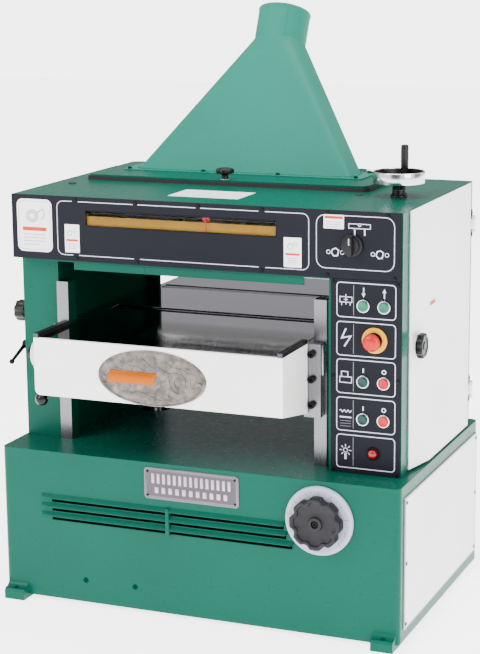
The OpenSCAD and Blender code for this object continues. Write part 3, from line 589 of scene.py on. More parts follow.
def hood_rows(inset, r, low, high, rows=14):
    """Rows from the rounded rectangle on the cover up to the collar's lower ring."""
    x0, y0, x1, y1 = HOOD_FOOT
    foot = rounded(x0 + inset, y0 + inset, x1 - inset, y1 - inset, 16 - inset, 16)
    foot = [Vector((x, y, low)) for x, y in foot]
    top = port_ring(r, high)
    return [[a.lerp(b, i / rows) for a, b in zip(foot, top)] for i in range(rows + 1)]


def make_hood():
    p = Piece("hood_body", "cover", "green_paint", HOOD)
    skin_foot = COVER_TOP + 1
    outer = hood_rows(0, 66, skin_foot, 0)
    collar = [port_ring(66, z) for z in (1, 20, 40, 60, 79)]
    bead = [port_ring(66 + dr, z) for dr, z in ((0.8, 80), (1.5, 81.5), (1.7, 83), (1.5, 84.6), (0.6, 86),
        (-0.8, 86.3), (-2, 85.4))]
    inner = [port_ring(64, z) for z in (80, 60, 40, 20, 1)] + hood_rows(2, 64, skin_foot, 0)[::-1]
    p.loft(outer + collar + bead + inner, wrap=True)
    p.done("chip_hood", merge=0.02, angle=24)
    p = Piece("hood_flange", "cover", "green_paint", HOOD)
    rings = [(-388, 244, 152, 268, 980, 7), (-388, 244, 152, 268, 982.4, 7),
        (-387.2, 243.2, 152.8, 267.2, 983.2, 6.4), (-357.5, 213.5, 168.5, 256.5, 983.4, 4),
        (-356, 212, 170, 255, 980, 4)]
    p.loft([[(x, y, z) for x, y in rounded(x0, y0, x1, y1, r)] for x0, x1, y0, y1, z, r in rings], wrap=True)
    p.done(angle=30)
    p = Piece("hood_weld", "cover", "green_paint", HOOD)
    corners = enumerate(rounded(-358.4, 167.6, 214.4, 257.4, 17, 10))
    long = closer([Vector((x, y, 984 + 0.35 * sin(i * 2.1))) for i, (x, y) in corners], 6)
    p.tube(long, [1.7 + 0.35 * sin(i * 1.7) for i in range(len(long))], 8, wrap=True)
    p.done(angle=60)
    p = Piece("hood_seam", "cover", "green_paint", HOOD)
    a = radians(-62)
    out = cos(a) * PORT_U + sin(a) * PORT_V
    p.tube([PORT + PORT_W * z + out * 65.7 for z in range(2, 80, 4)],
        [0.9 + 0.15 * sin(i * 2.3) for i in range(20)], 8)
    p.done(angle=60)
    p = Piece("hood_screws", "cover", "green_paint", DEEP)
    for x in (-372, -171, 27, 228):
        for y in (158.5, 262.5):
            p.lathe([(0, 983), (6.4, 983), (6.4, 983.9), (4.9, 984), (4.7, 986.6), (3.9, 987.4),
                (2.6, 987.4), (2.3, 985.6), (0, 985.4)], (x, y), steps=20)
    p.done()


def make_cover():
    p = Piece("cover_rim", "cover", "green_paint", GREEN)
    x0, y0, x1, y1 = -437, 50, 293, 318
    rows = [(0.0, 974.2), (0.8, 973.6), (0.9, 979.4), (0.3, 980.2), (-1.2, 980.6), (-3.4, 980.3),
        (-3.6, 979.4), (-0.6, 978.6), (-0.6, 974.6)]
    p.loft([[(x, y, z) for x, y in rounded(x0 - d, y0 - d, x1 + d, y1 + d, 18 + d, 8)] for d, z in rows],
        wrap=True)
    p.done()
    p = Piece("knob_washer", "cover", "steel", STEEL_Z)
    p.lathe([(5.6, 980), (13, 980), (13.4, 980.5), (13, 981.3), (11, 981.7), (10.6, 981.2), (5.6, 981.2)],
        COVER_KNOB, steps=40, wrap=True)
    p.done()
    p = Piece("star_knob", "cover_knob", "black_plastic", BLACK)
    lobes = scooped(22, 27, 9, 6)
    p.lathe([(0, 981.6), (8.2, 981.6), (9, 982.4), (7.6, 987), (8.2, 991), (14, 993.6, 0.7), (19, 994.2, 1),
        (21.4, 995.2, 1), (22, 997, 1), (22, 1002, 1), (21, 1004.6, 1), (18.4, 1006.3, 1), (13, 1007, 0.6),
        (8, 1006.4), (6, 1005.4), (0, 1005.2)], COVER_KNOB, steps=96, shape=lobes)
    p.done("cover_knob", angle=40)
    p = Piece("head_plugs", "frame", "seal_rubber", RUBBER)
    for x, y in ((-437, -30), (290, 5)):
        p.lathe([(0, 966), (9, 966), (9.6, 966.8), (8.6, 968.3), (4.4, 969), (3.6, 968.2), (0, 968)], (x, y),
            steps=28)
    p.done()
    p = Piece("head_label", "frame", "white_paint", LABEL, PALE_INK)
    p.prism(rounded(-127, -150, 50, -40, 3), "Z", 966, 966.3)
    for i in range(5):
        p.prism(rounded(-110 + 4 * i, -136 + 13 * i, 34, -133.6 + 13 * i, 1), "Z", 966.3, 966.42, mat=1)
    p.done()


# ---- fascia and its print


def lines(p, *paths, w=1.6, closed=False, mat=0):
    """Lines printed on the front face."""
    for path in paths:
        p.stroke(path, w, "Y", FACE, FACE - INK_T, closed, mat)


def patch(p, x0, z0, x1, z1, r, y0, y1, mat=0):
    """A filled rectangle with round corners, printed or stuck on the front."""
    p.prism(rounded(x0, z0, x1, z1, r), "Y", y0, y1, mat=mat)


def frame_line(p, x0, z0, x1, z1, gaps, r):
    """Rounded outline on the front face, open where screws sit: gaps holds (x, whether at the top)."""
    dense = [tuple(v) for v in closer([Vector(c) for c in rounded(x0, z0, x1, z1, r, 5)], 4)]
    screws = [(x, z1 if top else z0) for x, top in gaps]
    keep = [not any(abs(u - x) < 5 and abs(v - z) < 3 for x, z in screws) for u, v in dense]
    start = keep.index(False)
    run = []
    for i in range(len(dense) + 1):
        k = (start + i) % len(dense)
        if i < len(dense) and keep[k]:
            run.append(dense[k])
            continue
        if len(run) > 1:
            lines(p, run, w=1.7)
        run = []


def make_fascia_print():
    p = Piece("fascia_outlines", "frame", "white_paint", INK)
    frame_line(p, -371, 829, 254, 955, [(x, True) for x in (-323, -169, -12, 143)] + [(x, False)
        for x in (-323, -167, 142)], 15)
    frame_line(p, 272, 837, 452, 955, [(298, True)], 20)
    # work table over two legs, and the two selector positions
    lines(p, [(347, 928), (397, 928), (397, 938), (347, 938)], closed=True, w=1.8)
    lines(p, circle(3.2, (372, 936), 16), closed=True, w=1.8)
    lines(p, [(361, 926), (361, 913)], [(384, 926), (384, 913)], w=3.4)
    for x in (316, 419):
        lines(p, circle(9, (x, 873), 6, 0.5), closed=True, w=2.6)
        lines(p, circle(4.2, (x - 16, 873), 16), circle(4.2, (x + 16, 873), 16), closed=True, w=1.5)
    p.done()
    p = Piece("fascia_labels", "frame", "white_paint", LABEL, ORANGE, FAINT_INK)
    y1, y2, y3, y4, y5 = (FACE - t for t in (0.3, 0.42, 0.25, 0.45, 0.55))
    patch(p, -477, 832, -385, 956, 15, FACE, y1)
    p.stroke(rounded(-472, 837, -390, 951, 11), 0.9, "Y", y1, y2, closed=True, mat=2)
    for r in (14, 9):
        p.stroke(circle(r, (-437, 916), 28), 2.6, "Y", y1, y2, closed=True, mat=2)
    p.stroke([(-424, 924), (-408, 934), (-404, 918), (-414, 908)], 2.4, "Y", y1, y2, mat=2)
    patch(p, -463, 881, -400, 890, 1, y1, y2, mat=1)
    for i in range(4):
        patch(p, -461, 872 - 8 * i, -402 - (16 if i == 3 else 0), 873.6 - 8 * i, 0.8, y1, y2, mat=2)
    for x0, x1, z0, z1 in ((-352, -314, 835, 901), (195, 237, 833, 900)):
        patch(p, x0, z0, x1, z1, 1.5, y3, y4)
        zb = z0 + (z1 - z0) * 0.4
        patch(p, x0 + 4, zb, x1 - 4, zb + 5, 1, y4, y5, mat=1)
        cx, cz = (x0 + x1) / 2, z1 - 18
        p.stroke(circle(6, (cx - 6, cz - 2), 16), 1.6, "Y", y4, y5, closed=True, mat=2)
        p.stroke(circle(4, (cx + 7, cz + 3), 14), 1.4, "Y", y4, y5, closed=True, mat=2)
        for i in range(3):
            patch(p, x0 + 9, zb - 7 - 5 * i, x1 - 9, zb - 5.8 - 5 * i, 0.5, y4, y5, mat=2)
    patch(p, 289, 925, 336, 956, 1.5, y3, y4)
    patch(p, 291, 947, 334, 953, 1, y4, y5, mat=1)
    for i in range(3):
        patch(p, 294, 939 - 5 * i, 331, 940.3 - 5 * i, 0.5, y4, y5, mat=2)
    p.done()
    # thickness scale behind the window, moved through 2.2 times the table's travel
    y = min(v.co.y for v in NODES["depth_scale"].data.vertices) / MM
    p = Piece("scale_marks", "frame", "scale_paint", DARK_INK)
    inch = 25.4 * 2.2
    for i in range(0, 65):
        x = 3 + (i / 8 - 5) * inch
        if -300 < x < 180:
            tall = 15 if i % 8 == 0 else 12 if i % 4 == 0 else 9 if i % 2 == 0 else 7
            p.box((x - 0.8, y - 0.15, 920.4 - tall), (x + 0.8, y, 920.4), 0)
            if i % 8 == 0 and -292 < x < 172:
                p.number(str(i // 8), (x + 5.5, 902.5), 9, y, rise=0.15)
    p.done()
    p = Piece("window_frame", "frame", "charcoal_paint", BLACK_OXIDE)
    rows = [(0.6, FACE + 5), (0.6, FACE - 0.3), (0.1, FACE - 0.8), (-1.6, FACE - 0.8), (-2.0, FACE - 0.2),
        (-2.0, FACE + 5)]
    p.loft([[(x, yy, z) for x, z in rounded(-298 - d, 898 - d, 178 + d, 936 + d, 3 + max(d, -2.5) * 0.5)]
        for d, yy in rows], wrap=True)
    p.done()


# ---- control panel


def make_panel_print():
    p = Piece("panel_outlines", "frame", "white_paint", INK, FAINT_INK)
    for z0, z1 in ((730, 807), (643, 719), (557, 634), (471, 547), (385, 461)):
        lines(p, rounded(320, z0, 456, z1, 8, 5), w=2.0, closed=True)
        lines(p, [(359, z0 + 5), (359, z1 - 5)], w=1.0, mat=1)
    # table with its lift
    lines(p, [(327, 763), (355, 763), (355, 775), (327, 775)], closed=True, w=1.7)
    lines(p, [(341, 758), (341, 781)], [(336, 769), (346, 769)], [(331, 762), (331, 756)],
        [(351, 762), (351, 756)], w=1.7)
    # lightning bolt
    lines(p, [(341.5, 704), (331.5, 682), (353, 687), (337.5, 663)], w=3.6)
    # machine on a board
    lines(p, [(327, 581), (355, 581), (355, 594), (327, 594)], closed=True, w=1.9)
    lines(p, [(331, 595), (331, 606), (346, 606), (346, 595)], w=1.9)
    # feed: wavy line over a board
    lines(p, [(327 + i, 515.5 + 2.6 * sin(i * 0.72)) for i in range(0, 29)], w=1.9)
    lines(p, [(327, 501.5), (355, 501.5)], w=3)
    for i in range(3):
        lines(p, [(328, 493 - 6 * i), (354, 493 - 6 * i)], w=0.7, mat=1)
    # lamp with rays
    lines(p, circle(4.8, (341, 425), 20), closed=True, w=1.5)
    for k in range(8):
        a = pi / 4 * k
        if k != 6:
            lines(p, [(341 + 8 * cos(a), 425 + 8 * sin(a)), (341 + 14 * cos(a), 425 + 14 * sin(a))], w=1.9)
    lines(p, [(341, 418), (341, 404)], w=5)
    # arrows over the upper pair, bar and ring over the two lower pairs
    for x, d in ((382, -1), (430, 1)):
        lines(p, [(x, 787 - 11 * d), (x, 787 + 3 * d)], w=2.6)
        p.prism([(x - 4.4, 787 + 2 * d), (x + 4.4, 787 + 2 * d), (x, 787 + 11 * d)], "Y", FACE, FACE - INK_T)
    for z in (611, 524.5):
        lines(p, [(382, z - 5), (382, z + 5)], w=3)
        lines(p, circle(4.2, (430, z), 24), closed=True, w=2.4)
    p.done()


BUTTONS = {"button_up": LIGHT_GREEN, "button_down": LIGHT_GREEN, "button_drive_on": DARK_GREEN,
    "button_drive_off": RED, "button_feed_on": DARK_GREEN, "button_feed_off": RED}
COLLAR = [(11.3, -233), (15, -235), (15.3, -236.4), (15.2, -238.6), (14.2, -240), (12.6, -240.3),
    (11.5, -239.6)]


def make_buttons():
    bezels = Piece("button_collars", "frame", "chrome_steel", CHROME_Y)
    for node, colour in BUTTONS.items():
        x, _, z = middle(node)
        p = Piece(node + "_cap", node, "red_plastic" if colour is RED else "green_plastic", colour)
        p.lathe([(0, -214), (6, -214), (6, -232), (11, -232), (11, -242.2), (10.4, -243.5), (9.2, -244),
            (7.6, -243.6), (0, -242.9)], (x, z), "Y", 40)
        p.done(node, angle=28)
        bezels.lathe(COLLAR, (x, z), "Y", 48, wrap=True, shape=fluted(0.012, 36))
    lx, _, lz = middle("power_lamp")
    sx, _, sz = middle("stop_button")
    bezels.done("button_bezels", angle=40)
    p = Piece("lamp_collar", "frame", "screw_black", BLACK_OXIDE)
    p.lathe(COLLAR, (lx, lz), "Y", 48, wrap=True)
    p.lathe([(11.4, -233), (18.6, -236), (18.6, -240), (17.6, -241), (12, -241)], (sx, sz), "Y", 48,
        wrap=True)
    p.done(angle=40)
    p = Piece("stop_disc", "frame", "scale_paint", YELLOW)
    p.lathe([(18.6, -235), (29, -235), (29.3, -236.2), (28.6, -237.8), (27.2, -238.2), (20, -238.4),
        (18.6, -238)], (sx, sz), "Y", 64, wrap=True)
    p.done()
    p = Piece("stop_mushroom", "stop_button", "red_plastic", RED)
    p.lathe([(0, -231), (11, -231), (11, -253), (15, -254.5), (18.4, -255.2), (19.8, -257), (20, -259.5),
        (19.3, -262.6), (17.4, -265.4), (14, -267.8), (9.5, -269.3), (4.5, -269.9), (0, -270)], (sx, sz),
        "Y", 64)
    p.done("stop_button", angle=40)
    p = Piece("lamp_dome", "frame", "lamp_lens", LAMP)
    p.lathe([(0, -212), (10.6, -212), (10.6, -241.5), (10.4, -243.6, 1), (8.6, -245.8, 1), (5, -247.1, 1),
        (0, -247.5)], (lx, lz), "Y", 72, shape=fluted(0.05, 18))
    p.done("power_lamp", angle=50)


def make_selector():
    x, z = SELECTOR
    p = Piece("selector_grip", "selector_knob", "black_plastic", BLACK)
    p.lathe([(0, -218), (4.8, -218), (4.8, -235.3), (23.5, -235.5), (25, -237, 1), (25, -241.6, 1),
        (23.6, -243.2, 1), (19.4, -243.6), (18.8, -248), (17.8, -249.3), (0, -249.6)], (x, z), "Y", 120,
        shape=fluted(0.035, 40))
    outline = rounded(x - 6, z - 22, x + 6, z + 22, 5.8, 6)
    p.prism(outline, "Y", -242.5, -261.2, bevel=2.2, segments=3)
    p.done("selector_knob", angle=32)
    p = Piece("selector_mark", "selector_knob", "white_plastic", INK)
    p.prism(rounded(x - 0.9, z + 4, x + 0.9, z + 19, 0.8, 3), "Y", -261, -261.5)
    p.done()


# ---- speed dial


def make_dial():
    x, z = DIAL[0], DIAL[2]
    p = Piece("dial_scale_ring", "frame", "grey_plastic", DIAL_GREY)
    p.lathe([(9.4, -316), (79, -316), (80, -316.8), (80, -321.4), (79.2, -323.6), (77.4, -325.4),
        (75.6, -326), (72, -325.7), (55, -324.4), (50, -322), (9.4, -322)], (x, z), "Y", 96, wrap=True)
    p.done("dial_ring", angle=28)
    p = Piece("dial_marks", "frame", "grey_plastic", GREY_INK)
    for i in range(41):
        a = radians(225 - i * 6.75)
        r0 = 63.5 if i % 4 == 0 else 66 if i % 2 == 0 else 67.5
        c, s = cos(a), sin(a)
        w = 0.42 if i % 4 else 0.6
        p.prism([(x + c * r0 - s * w, z + s * r0 + c * w), (x + c * 70 - s * w, z + s * 70 + c * w),
            (x + c * 70 + s * w, z + s * 70 - c * w), (x + c * r0 + s * w, z + s * r0 - c * w)], "Y", -324.6,
            -325.75)
        if i % 8 == 0:
            p.number(str(i // 4), (x + c * 73.4, z + s * 73.4), 5.0, -325.6, rise=0.3)
    p.done()
    p = Piece("dial_knob", "speed_knob", "black_plastic", DIAL_BLACK)
    scoop = scooped(60, 66, 13, 8, radians(22.5))
    p.lathe([(0, -286), (8, -286), (8, -322.6), (30, -322.6), (30, -327), (58.5, -327.2, 1), (60, -328.8, 1),
        (60, -350.4, 1), (59.2, -352.2, 1), (57.4, -353, 1), (52.2, -353, 1), (50.6, -352.2, 1),
        (49.8, -350.4, 1), (48.8, -348.2, 1), (41, -346.2, 0.8), (30, -345.4, 0.4), (20, -345.2),
        (17, -345.4), (16.4, -346.2), (16, -350.6), (15.2, -351.6), (9.4, -351.8), (8.6, -351), (8.2, -344),
        (0, -344)], (x, z), "Y", 144, shape=scoop)
    p.done("speed_knob", angle=30)
    p = Piece("dial_screw", "speed_knob", "steel", BLACK_OXIDE)
    p.lathe([(0, -344), (6.4, -344), (6.4, -348.4), (5.6, -349.2), (3.4, -349.2), (3.2, -346), (0, -345.8)],
        (x, z), "Y", 24)
    # eight specks of 0.01 mm on the rim of the knob, too small to show
    for k in range(8):
        a = radians(45 * k)
        u, v = x + cos(a) * 52.6, z + sin(a) * 52.6
        p.box((u - 0.01, -353.1, v - 0.01), (u, -353, v), 0)
    p.done()


# ---- handwheel


def make_handwheel():
    p = Piece("wheel_rim", "elevation_wheel", "chrome_steel", CHROME, DARK_DISH)
    p.lathe([(46, 1002.2), (48, 1000.6), (54, 998.4), (58.6, 998), (59.7, 998.8), (60, 1000.6), (60, 1021.4),
        (59.4, 1024), (58.2, 1025), (56.6, 1025), (55.6, 1024.4), (55.2, 1022), (55, 1008), (48, 1004)],
        WHEEL, steps=96, wrap=True)
    p.done("elevation_wheel", angle=34)
    p = Piece("wheel_dish", "elevation_wheel", "black_plastic", DARK_DISH)
    p.lathe([(0, 1001.6), (46.4, 1001.8), (47.6, 1002.4), (54.9, 1007), (55.1, 1023.4), (54.3, 1023.8),
        (53.6, 1019), (52.6, 1012), (49, 1008.6), (22, 1007.8), (19, 1009.2), (17.4, 1011.6), (14, 1012.2),
        (12.4, 1011.4), (0, 1011.4)], WHEEL, steps=96)
    for k in range(3):
        a = 2 * pi * k / 3 + 0.5
        p.lathe([(0, 1007), (3.2, 1007), (3, 1008.9), (1.6, 1009.4), (0, 1009.4)],
            (WHEEL[0] + 34 * cos(a), WHEEL[1] + 34 * sin(a)), steps=14)
    p.done(angle=34)
    p = Piece("wheel_hub", "elevation_wheel", "black_plastic", HUB_BLACK)
    p.lathe([(0, 926), (9, 926), (9, 983.9), (14, 984.5, 1), (15.4, 986, 1), (15, 989, 1), (11.6, 991.4, 1),
        (11, 994, 1), (13, 997, 1), (17, 1000.4), (18, 1002), (0, 1002)], WHEEL, steps=84,
        shape=fluted(0.2, 6, 1.4))
    p.done(angle=45)
    p = Piece("wheel_collar", "frame", "raw_iron", HUB_BLACK)
    p.lathe([(10, 966), (19, 966), (20, 967), (19.6, 969.4), (15.6, 971), (15.3, 975), (15.2, 980.6),
        (14.6, 983), (10, 983.4)], WHEEL, steps=64, wrap=True)
    for k in range(4):
        a = pi / 4 + pi / 2 * k
        p.lathe([(0, 968), (2.6, 968), (2.6, 972.4), (1.9, 973), (0, 973)],
            (WHEEL[0] + 17.6 * cos(a), WHEEL[1] + 17.6 * sin(a)), steps=12)
    p.done()
    gx, gy = WHEEL[0], WHEEL[1] + 42
    p = Piece("wheel_handle", "wheel_grip", "black_plastic", HUB_BLACK)
    p.lathe([(4.3, 1008.6), (6.8, 1008.8), (7.8, 1010), (8, 1014), (8.6, 1023), (9, 1037), (9.1, 1053),
        (9, 1070), (8.8, 1077), (8.2, 1079.4), (6.4, 1080.4), (2.4, 1080.2), (0, 1079.9)], (gx, gy),
        steps=72, shape=fluted(0.09, 9, 1.2))
    p.done("wheel_grip", angle=40)
    p = Piece("handle_ferrule", "elevation_wheel", "chrome_steel", CHROME)
    p.lathe([(0, 1003), (7.4, 1003), (7.4, 1006), (6.6, 1007.2), (0, 1007.2)], (gx, gy), steps=36)
    p.done()


# ---- levers and latches


def make_levers():
    y0, z0 = LEVER
    lean = radians(16.6)
    d = Vector((0, sin(lean), -cos(lean)))
    hub = Vector((-383.4, y0, z0))
    p = Piece("lever_arm", "bed_roller_lever", "steel", CHROME)
    p.tube([hub + d * s for s in (12, 30, 60, 90, 112)], [4.3, 4, 4, 4, 4], 20)
    p.done()
    p = Piece("lever_hub", "bed_roller_lever", "black_plastic", BLACK_OXIDE)
    p.lathe([(0, -352), (6, -352), (6, -372.8), (14, -372.8), (15, -373.8), (15, -386.6), (13.6, -389),
        (10, -390.4), (5, -390.4), (4.6, -389.4), (0, -389.4)], (y0, z0), "X", 48)
    p.done(angle=30)
    p = Piece("lever_ball", "bed_roller_lever", "black_plastic", BLACK_GLOSS)
    p.turn = Matrix.Translation(hub + d * 126) @ d.to_track_quat("Z", "Y").to_matrix().to_4x4()
    ball = [(15.5 * sin(a), 15.5 * cos(a)) for a in map(radians, range(10, 155, 9))]
    p.lathe([(0, 15.5), *ball, (6, -15), (4.2, -15.6), (0, -15.6)], (0, 0), "Z", 48)
    p.done("bed_roller_lever", angle=40)
    p = Piece("lever_dial", "table", "white_plastic", WHITE_PLASTIC, DARK_INK)
    p.lathe([(6.4, -361), (33.4, -361), (34, -361.8), (34, -371.2), (33.2, -372), (27, -372), (26.4, -371.5),
        (16, -371.5), (15, -372), (6.4, -372)], (y0, z0), "X", 72, wrap=True)
    for k in range(-4, 5):
        a = radians(-90 + 12 * k) + lean
        c, s = cos(a), sin(a)
        r1 = 32.4 if k % 2 == 0 else 30.4
        w = 0.5
        p.prism([(y0 + c * 27.6 - s * w, z0 + s * 27.6 + c * w), (y0 + c * r1 - s * w, z0 + s * r1 + c * w),
            (y0 + c * r1 + s * w, z0 + s * r1 - c * w), (y0 + c * 27.6 + s * w, z0 + s * 27.6 - c * w)], "X",
            -371.9, -372.25, mat=1)
    p.done("lever_disc", angle=30)
    # table lock on the left column
    y1, z1 = LOCK
    lean = radians(67)
    d = Vector((0, -sin(lean), -cos(lean)))
    hub = Vector((-503, y1, z1))
    p = Piece("lock_handle", "table_lock_lever", "screw_black", BLACK_OXIDE)
    p.lathe([(0, -462), (6, -462), (6, -491.5), (10.4, -491.5), (11, -492.2), (11, -504.6), (10, -506.6),
        (7.6, -507), (5, -506.9), (4.6, -505), (0, -505)], (y1, z1), "X", 40)
    p.tube([hub + d * s for s in (8, 14, 30, 50, 66, 71)], [5.4, 4.7, 4.4, 4, 3.7, 3.7], 18)
    tip = hub + d * 74
    p.turn = Matrix.Translation(tip) @ d.to_track_quat("Z", "Y").to_matrix().to_4x4()
    ball = [(6.4 * sin(a), -0.4 - 6.4 * cos(a)) for a in map(radians, range(40, 180, 14))]
    p.lathe([(0, -5), *ball, (0, 6)], (0, 0), "Z", 28)
    p.done("table_lock_lever", angle=40)


def latch_knob(node, x0, out, at, r, height, stud):
    """Round knob with eight finger flutes, pointing out along X from its seat at x0."""
    p = Piece(node + "_knob", node, "black_plastic", BLACK)
    h = [x0 + out * t for t in (-stud, 0, 1.5, height * 0.3, height - 3, height - 0.9, height - 0.2, height,
        height - 1.4, height - 2, height - 2, height)]
    p.lathe([(0, h[0]), (5, h[0]), (5, h[1]), (r - 3, h[1], 0.6), (r - 0.8, h[2], 1), (r, h[3], 1),
        (r, h[4], 1), (r - 1.4, h[5], 1), (r - 3, h[6], 1), (r - 8, h[7], 0.6), (r - 9.4, h[8], 0.2),
        (r * 0.36, h[9]), (r * 0.30, h[11]), (0, h[11])], at, "X", 128, shape=fluted(0.11, 8, 1.3))
    p.done(node, angle=36)


def make_latches():
    for node, end, out, at, r, height, stud in (("right_latch", 1, 1, (-158, 660), 29, 16, 24),
            ("left_latch", 0, -1, (-165, 672), 26, 28, 18)):
        latch_knob(node, span(node)[end][0] - out * height, out, at, r, height, stud)


# ---- badge, name plate and labels


def make_badge():
    cx, _, cz = middle("table_badge")
    front = BADGE_BACK
    oval = lambda a: 1 / sqrt(cos(a) ** 2 + (sin(a) * 133 / 64) ** 2)
    p = Piece("badge_plate", "table", "badge_alloy", BADGE, COPPER)
    p.lathe([(0, front), (132, front, 1), (133, front - 1, 1), (132.4, front - 2.6, 1),
        (130.5, front - 3.3, 1), (126.4, front - 3.2, 1), (124.8, front - 2.2, 1), (123.4, front - 1.5, 1),
        (96, front - 1.8, 1), (60, front - 2.0, 1), (0, front - 2.1)], (cx, cz), "Y", 128, shape=oval)
    for side in (-1, 1):
        p.lathe([(0, front - 1), (4, front - 1.4), (3.9, front - 3.6), (2.4, front - 4.8), (0, front - 5)],
            (cx + side * 117, cz - 4), "Y", 20)
    # low hills above, and a plain slanted bar where a name would be
    for j, (base, high, y) in enumerate(((24, 18, 1.9), (14, 12, 2.2))):
        hill = [(0.5 + 0.5 * sin(i * 0.9 + j * 2)) * (1 - ((i - 11) / 13) ** 2) for i in range(24)]
        ridge = [(cx - 92 + 8 * i, cz + base + high * k) for i, k in enumerate(hill)]
        p.stroke(ridge, 2.4, "Y", front - 1.4, front - y - 0.9)
    for j in range(5):
        row = [(cx - 70 + 15 * j + 6 * i, cz - 34 - 3.6 * j + 1.2 * sin(i * 1.3 + j))
            for i in range(20 - 2 * j)]
        p.stroke(row, 1.3, "Y", front - 1.4, front - 2.7)
    shave = [(cx + 66 + (5 + 1.9 * t) * cos(t), cz - 4 + (5 + 1.9 * t) * sin(t))
        for t in (0.35 * i for i in range(44))]
    p.stroke(shave, 2.2, "Y", front - 1.3, front - 3.0)
    slant = 9
    bar = [(cx - 112, cz - 16), (cx + 4, cz - 16), (cx + 4 + slant, cz + 13), (cx - 112 + slant, cz + 13)]
    p.prism(bar, "Y", front - 1.2, front - 3.4, bevel=1.0, mat=1)
    p.prism([(cx - 104, cz - 10), (cx + 0, cz - 10), (cx + 5, cz + 7), (cx - 99, cz + 7)], "Y", front - 3.2,
        front - 4.1, bevel=0.6, mat=1)
    p.done("table_badge", angle=30)


def make_name_plate():
    x0, z0, x1, z1 = -121, 286, 115, 361
    y = BASE_FRONT
    p = Piece("name_plate", "frame", "badge_alloy", PLATE, PLATE_DARK, PLATE_LIGHT)
    p.prism(rounded(x0, z0, x1, z1, 8), "Y", y + 0.3, y - 1.6, bevel=0.5)
    rim = rounded(x0 + 3, z0 + 3, x1 - 3, z1 - 3, 6)
    p.stroke(rim, 2.6, "Y", y - 1.4, y - 2.4, closed=True)
    p.prism(rounded(x0 + 7, z0 + 7, x1 - 7, z1 - 7, 5), "Y", y - 1.5, y - 1.75, mat=1)
    for low, high, count, step in ((38, 62, 15, 13.6), (15, 30, 11, 17.2)):
        for i in range(count):
            x = (x0 + x1) / 2 + (i - (count - 1) / 2) * step
            p.prism(rounded(x - step * 0.27, z0 + low, x + step * 0.27, z0 + high, 1.6, 3), "Y", y - 1.6,
                y - 3.2, bevel=0.5, mat=2)
    p.done()
    p = Piece("name_plate_rivets", "frame", "screw_black", BLACK_OXIDE)
    for x in (x0 + 9, x1 - 9):
        for z in (z0 + 9, z1 - 9):
            p.lathe([(0, y - 1), (3, y - 1.4), (3, y - 2.4), (2.1, y - 3.4), (0, y - 3.8)], (x, z), "Y", 16)
    p.done()
    p = Piece("base_studs", "frame", "green_paint", DEEP)
    for x in (-280, -151):
        p.lathe([(0, y + 1), (6.2, y + 0.5), (6.6, y - 0.5), (5.8, y - 1.2), (3, y - 1.3), (2.6, y - 0.2),
            (0, y)], (x, 64), "Y", 24)
    p.done()


def make_louvre_edges():
    """Folded blade edges and the pressed ends of the three louvres."""
    p = Piece("louvre_blades", "frame", "green_paint", GREEN)
    for z, right in LOUVRES:
        rows = []
        for x, up in ((-391, 17), (-386, 14.4), (-372, 11.6), (-360, 11), (right - 6, 11), (right - 1, 11.6),
                (right + 2, 14)):
            y = BASE_FRONT - (0.4 if x < -388 or x > right else 4.4 if x < -380 else 8.3)
            rows.append([(x, y + 0.9, z + up + 0.2), (x, y - 0.2, z + up + 1.2), (x, y - 1.0, z + up + 0.4),
                (x, y - 1.0, z + up - 1.0), (x, y - 0.2, z + up - 1.8), (x, y + 0.9, z + up - 1.2)])
        p.loft(rows)
        rings = []
        for i in range(9):
            k = i / 8
            bulge = 8 * sin(k * pi / 2)
            x = -392 + 30 * k
            rings.append([(x, BASE_FRONT + 0.6, z + 21), (x, BASE_FRONT - bulge * 0.45 - 0.3, z + 16.5),
                (x, BASE_FRONT - bulge - 0.4, z + 12.6 + 3 * (1 - k)),
                (x, BASE_FRONT - bulge - 0.2, z + 11.4 + 3 * (1 - k)), (x, BASE_FRONT + 0.6, z + 11.2)])
        p.loft(rings)
    p.box((-66.5, BASE_FRONT - 9, 203), (-57.5, BASE_FRONT - 0.2, 268), 0.8)
    p.done(angle=40)


# ---- table, rollers and cutting parts


def thread(p, x, y, z0, z1, r, pitch, depth, steps=20):
    """A rising trapezoidal thread: the helical ridge between two heights."""
    turns = (z1 - z0) / pitch
    rings = []
    n = int(turns * steps)
    for i in range(n + 1):
        a = 2 * pi * i / steps
        z = z0 + pitch * i / steps
        c, s = cos(a), sin(a)
        grow = min(1, i / steps, (n - i) / steps)
        rings.append([(x + c * rr, y + s * rr, z + dz) for rr, dz in ((r - depth - 0.4, -pitch * 0.36),
            (r - depth + depth * grow, -pitch * 0.2), (r - depth + depth * grow, pitch * 0.1),
            (r - depth - 0.4, pitch * 0.26))])
    p.loft(rings)


def make_screws():
    for side in ("left", "right"):
        node = "elevation_screw_" + side
        lo, hi = span(node)
        x, y = (lo[0] + hi[0]) / 2, (lo[1] + hi[1]) / 2
        p = Piece("lead_screw_" + side, node, "steel", STEEL_Z)
        p.lathe([(0, 19), (10, 19), (10, 80.4), (13.4, 80.6), (14, 81.4), (14, 86), (11.4, 88), (11.4, 548),
            (13, 549), (13.4, 550), (13.4, 553.6), (12.2, 555), (0, 555)], (x, y), steps=32)
        thread(p, x, y, 90, 546, 14, 5, 2.6)
        p.done(node, angle=40)


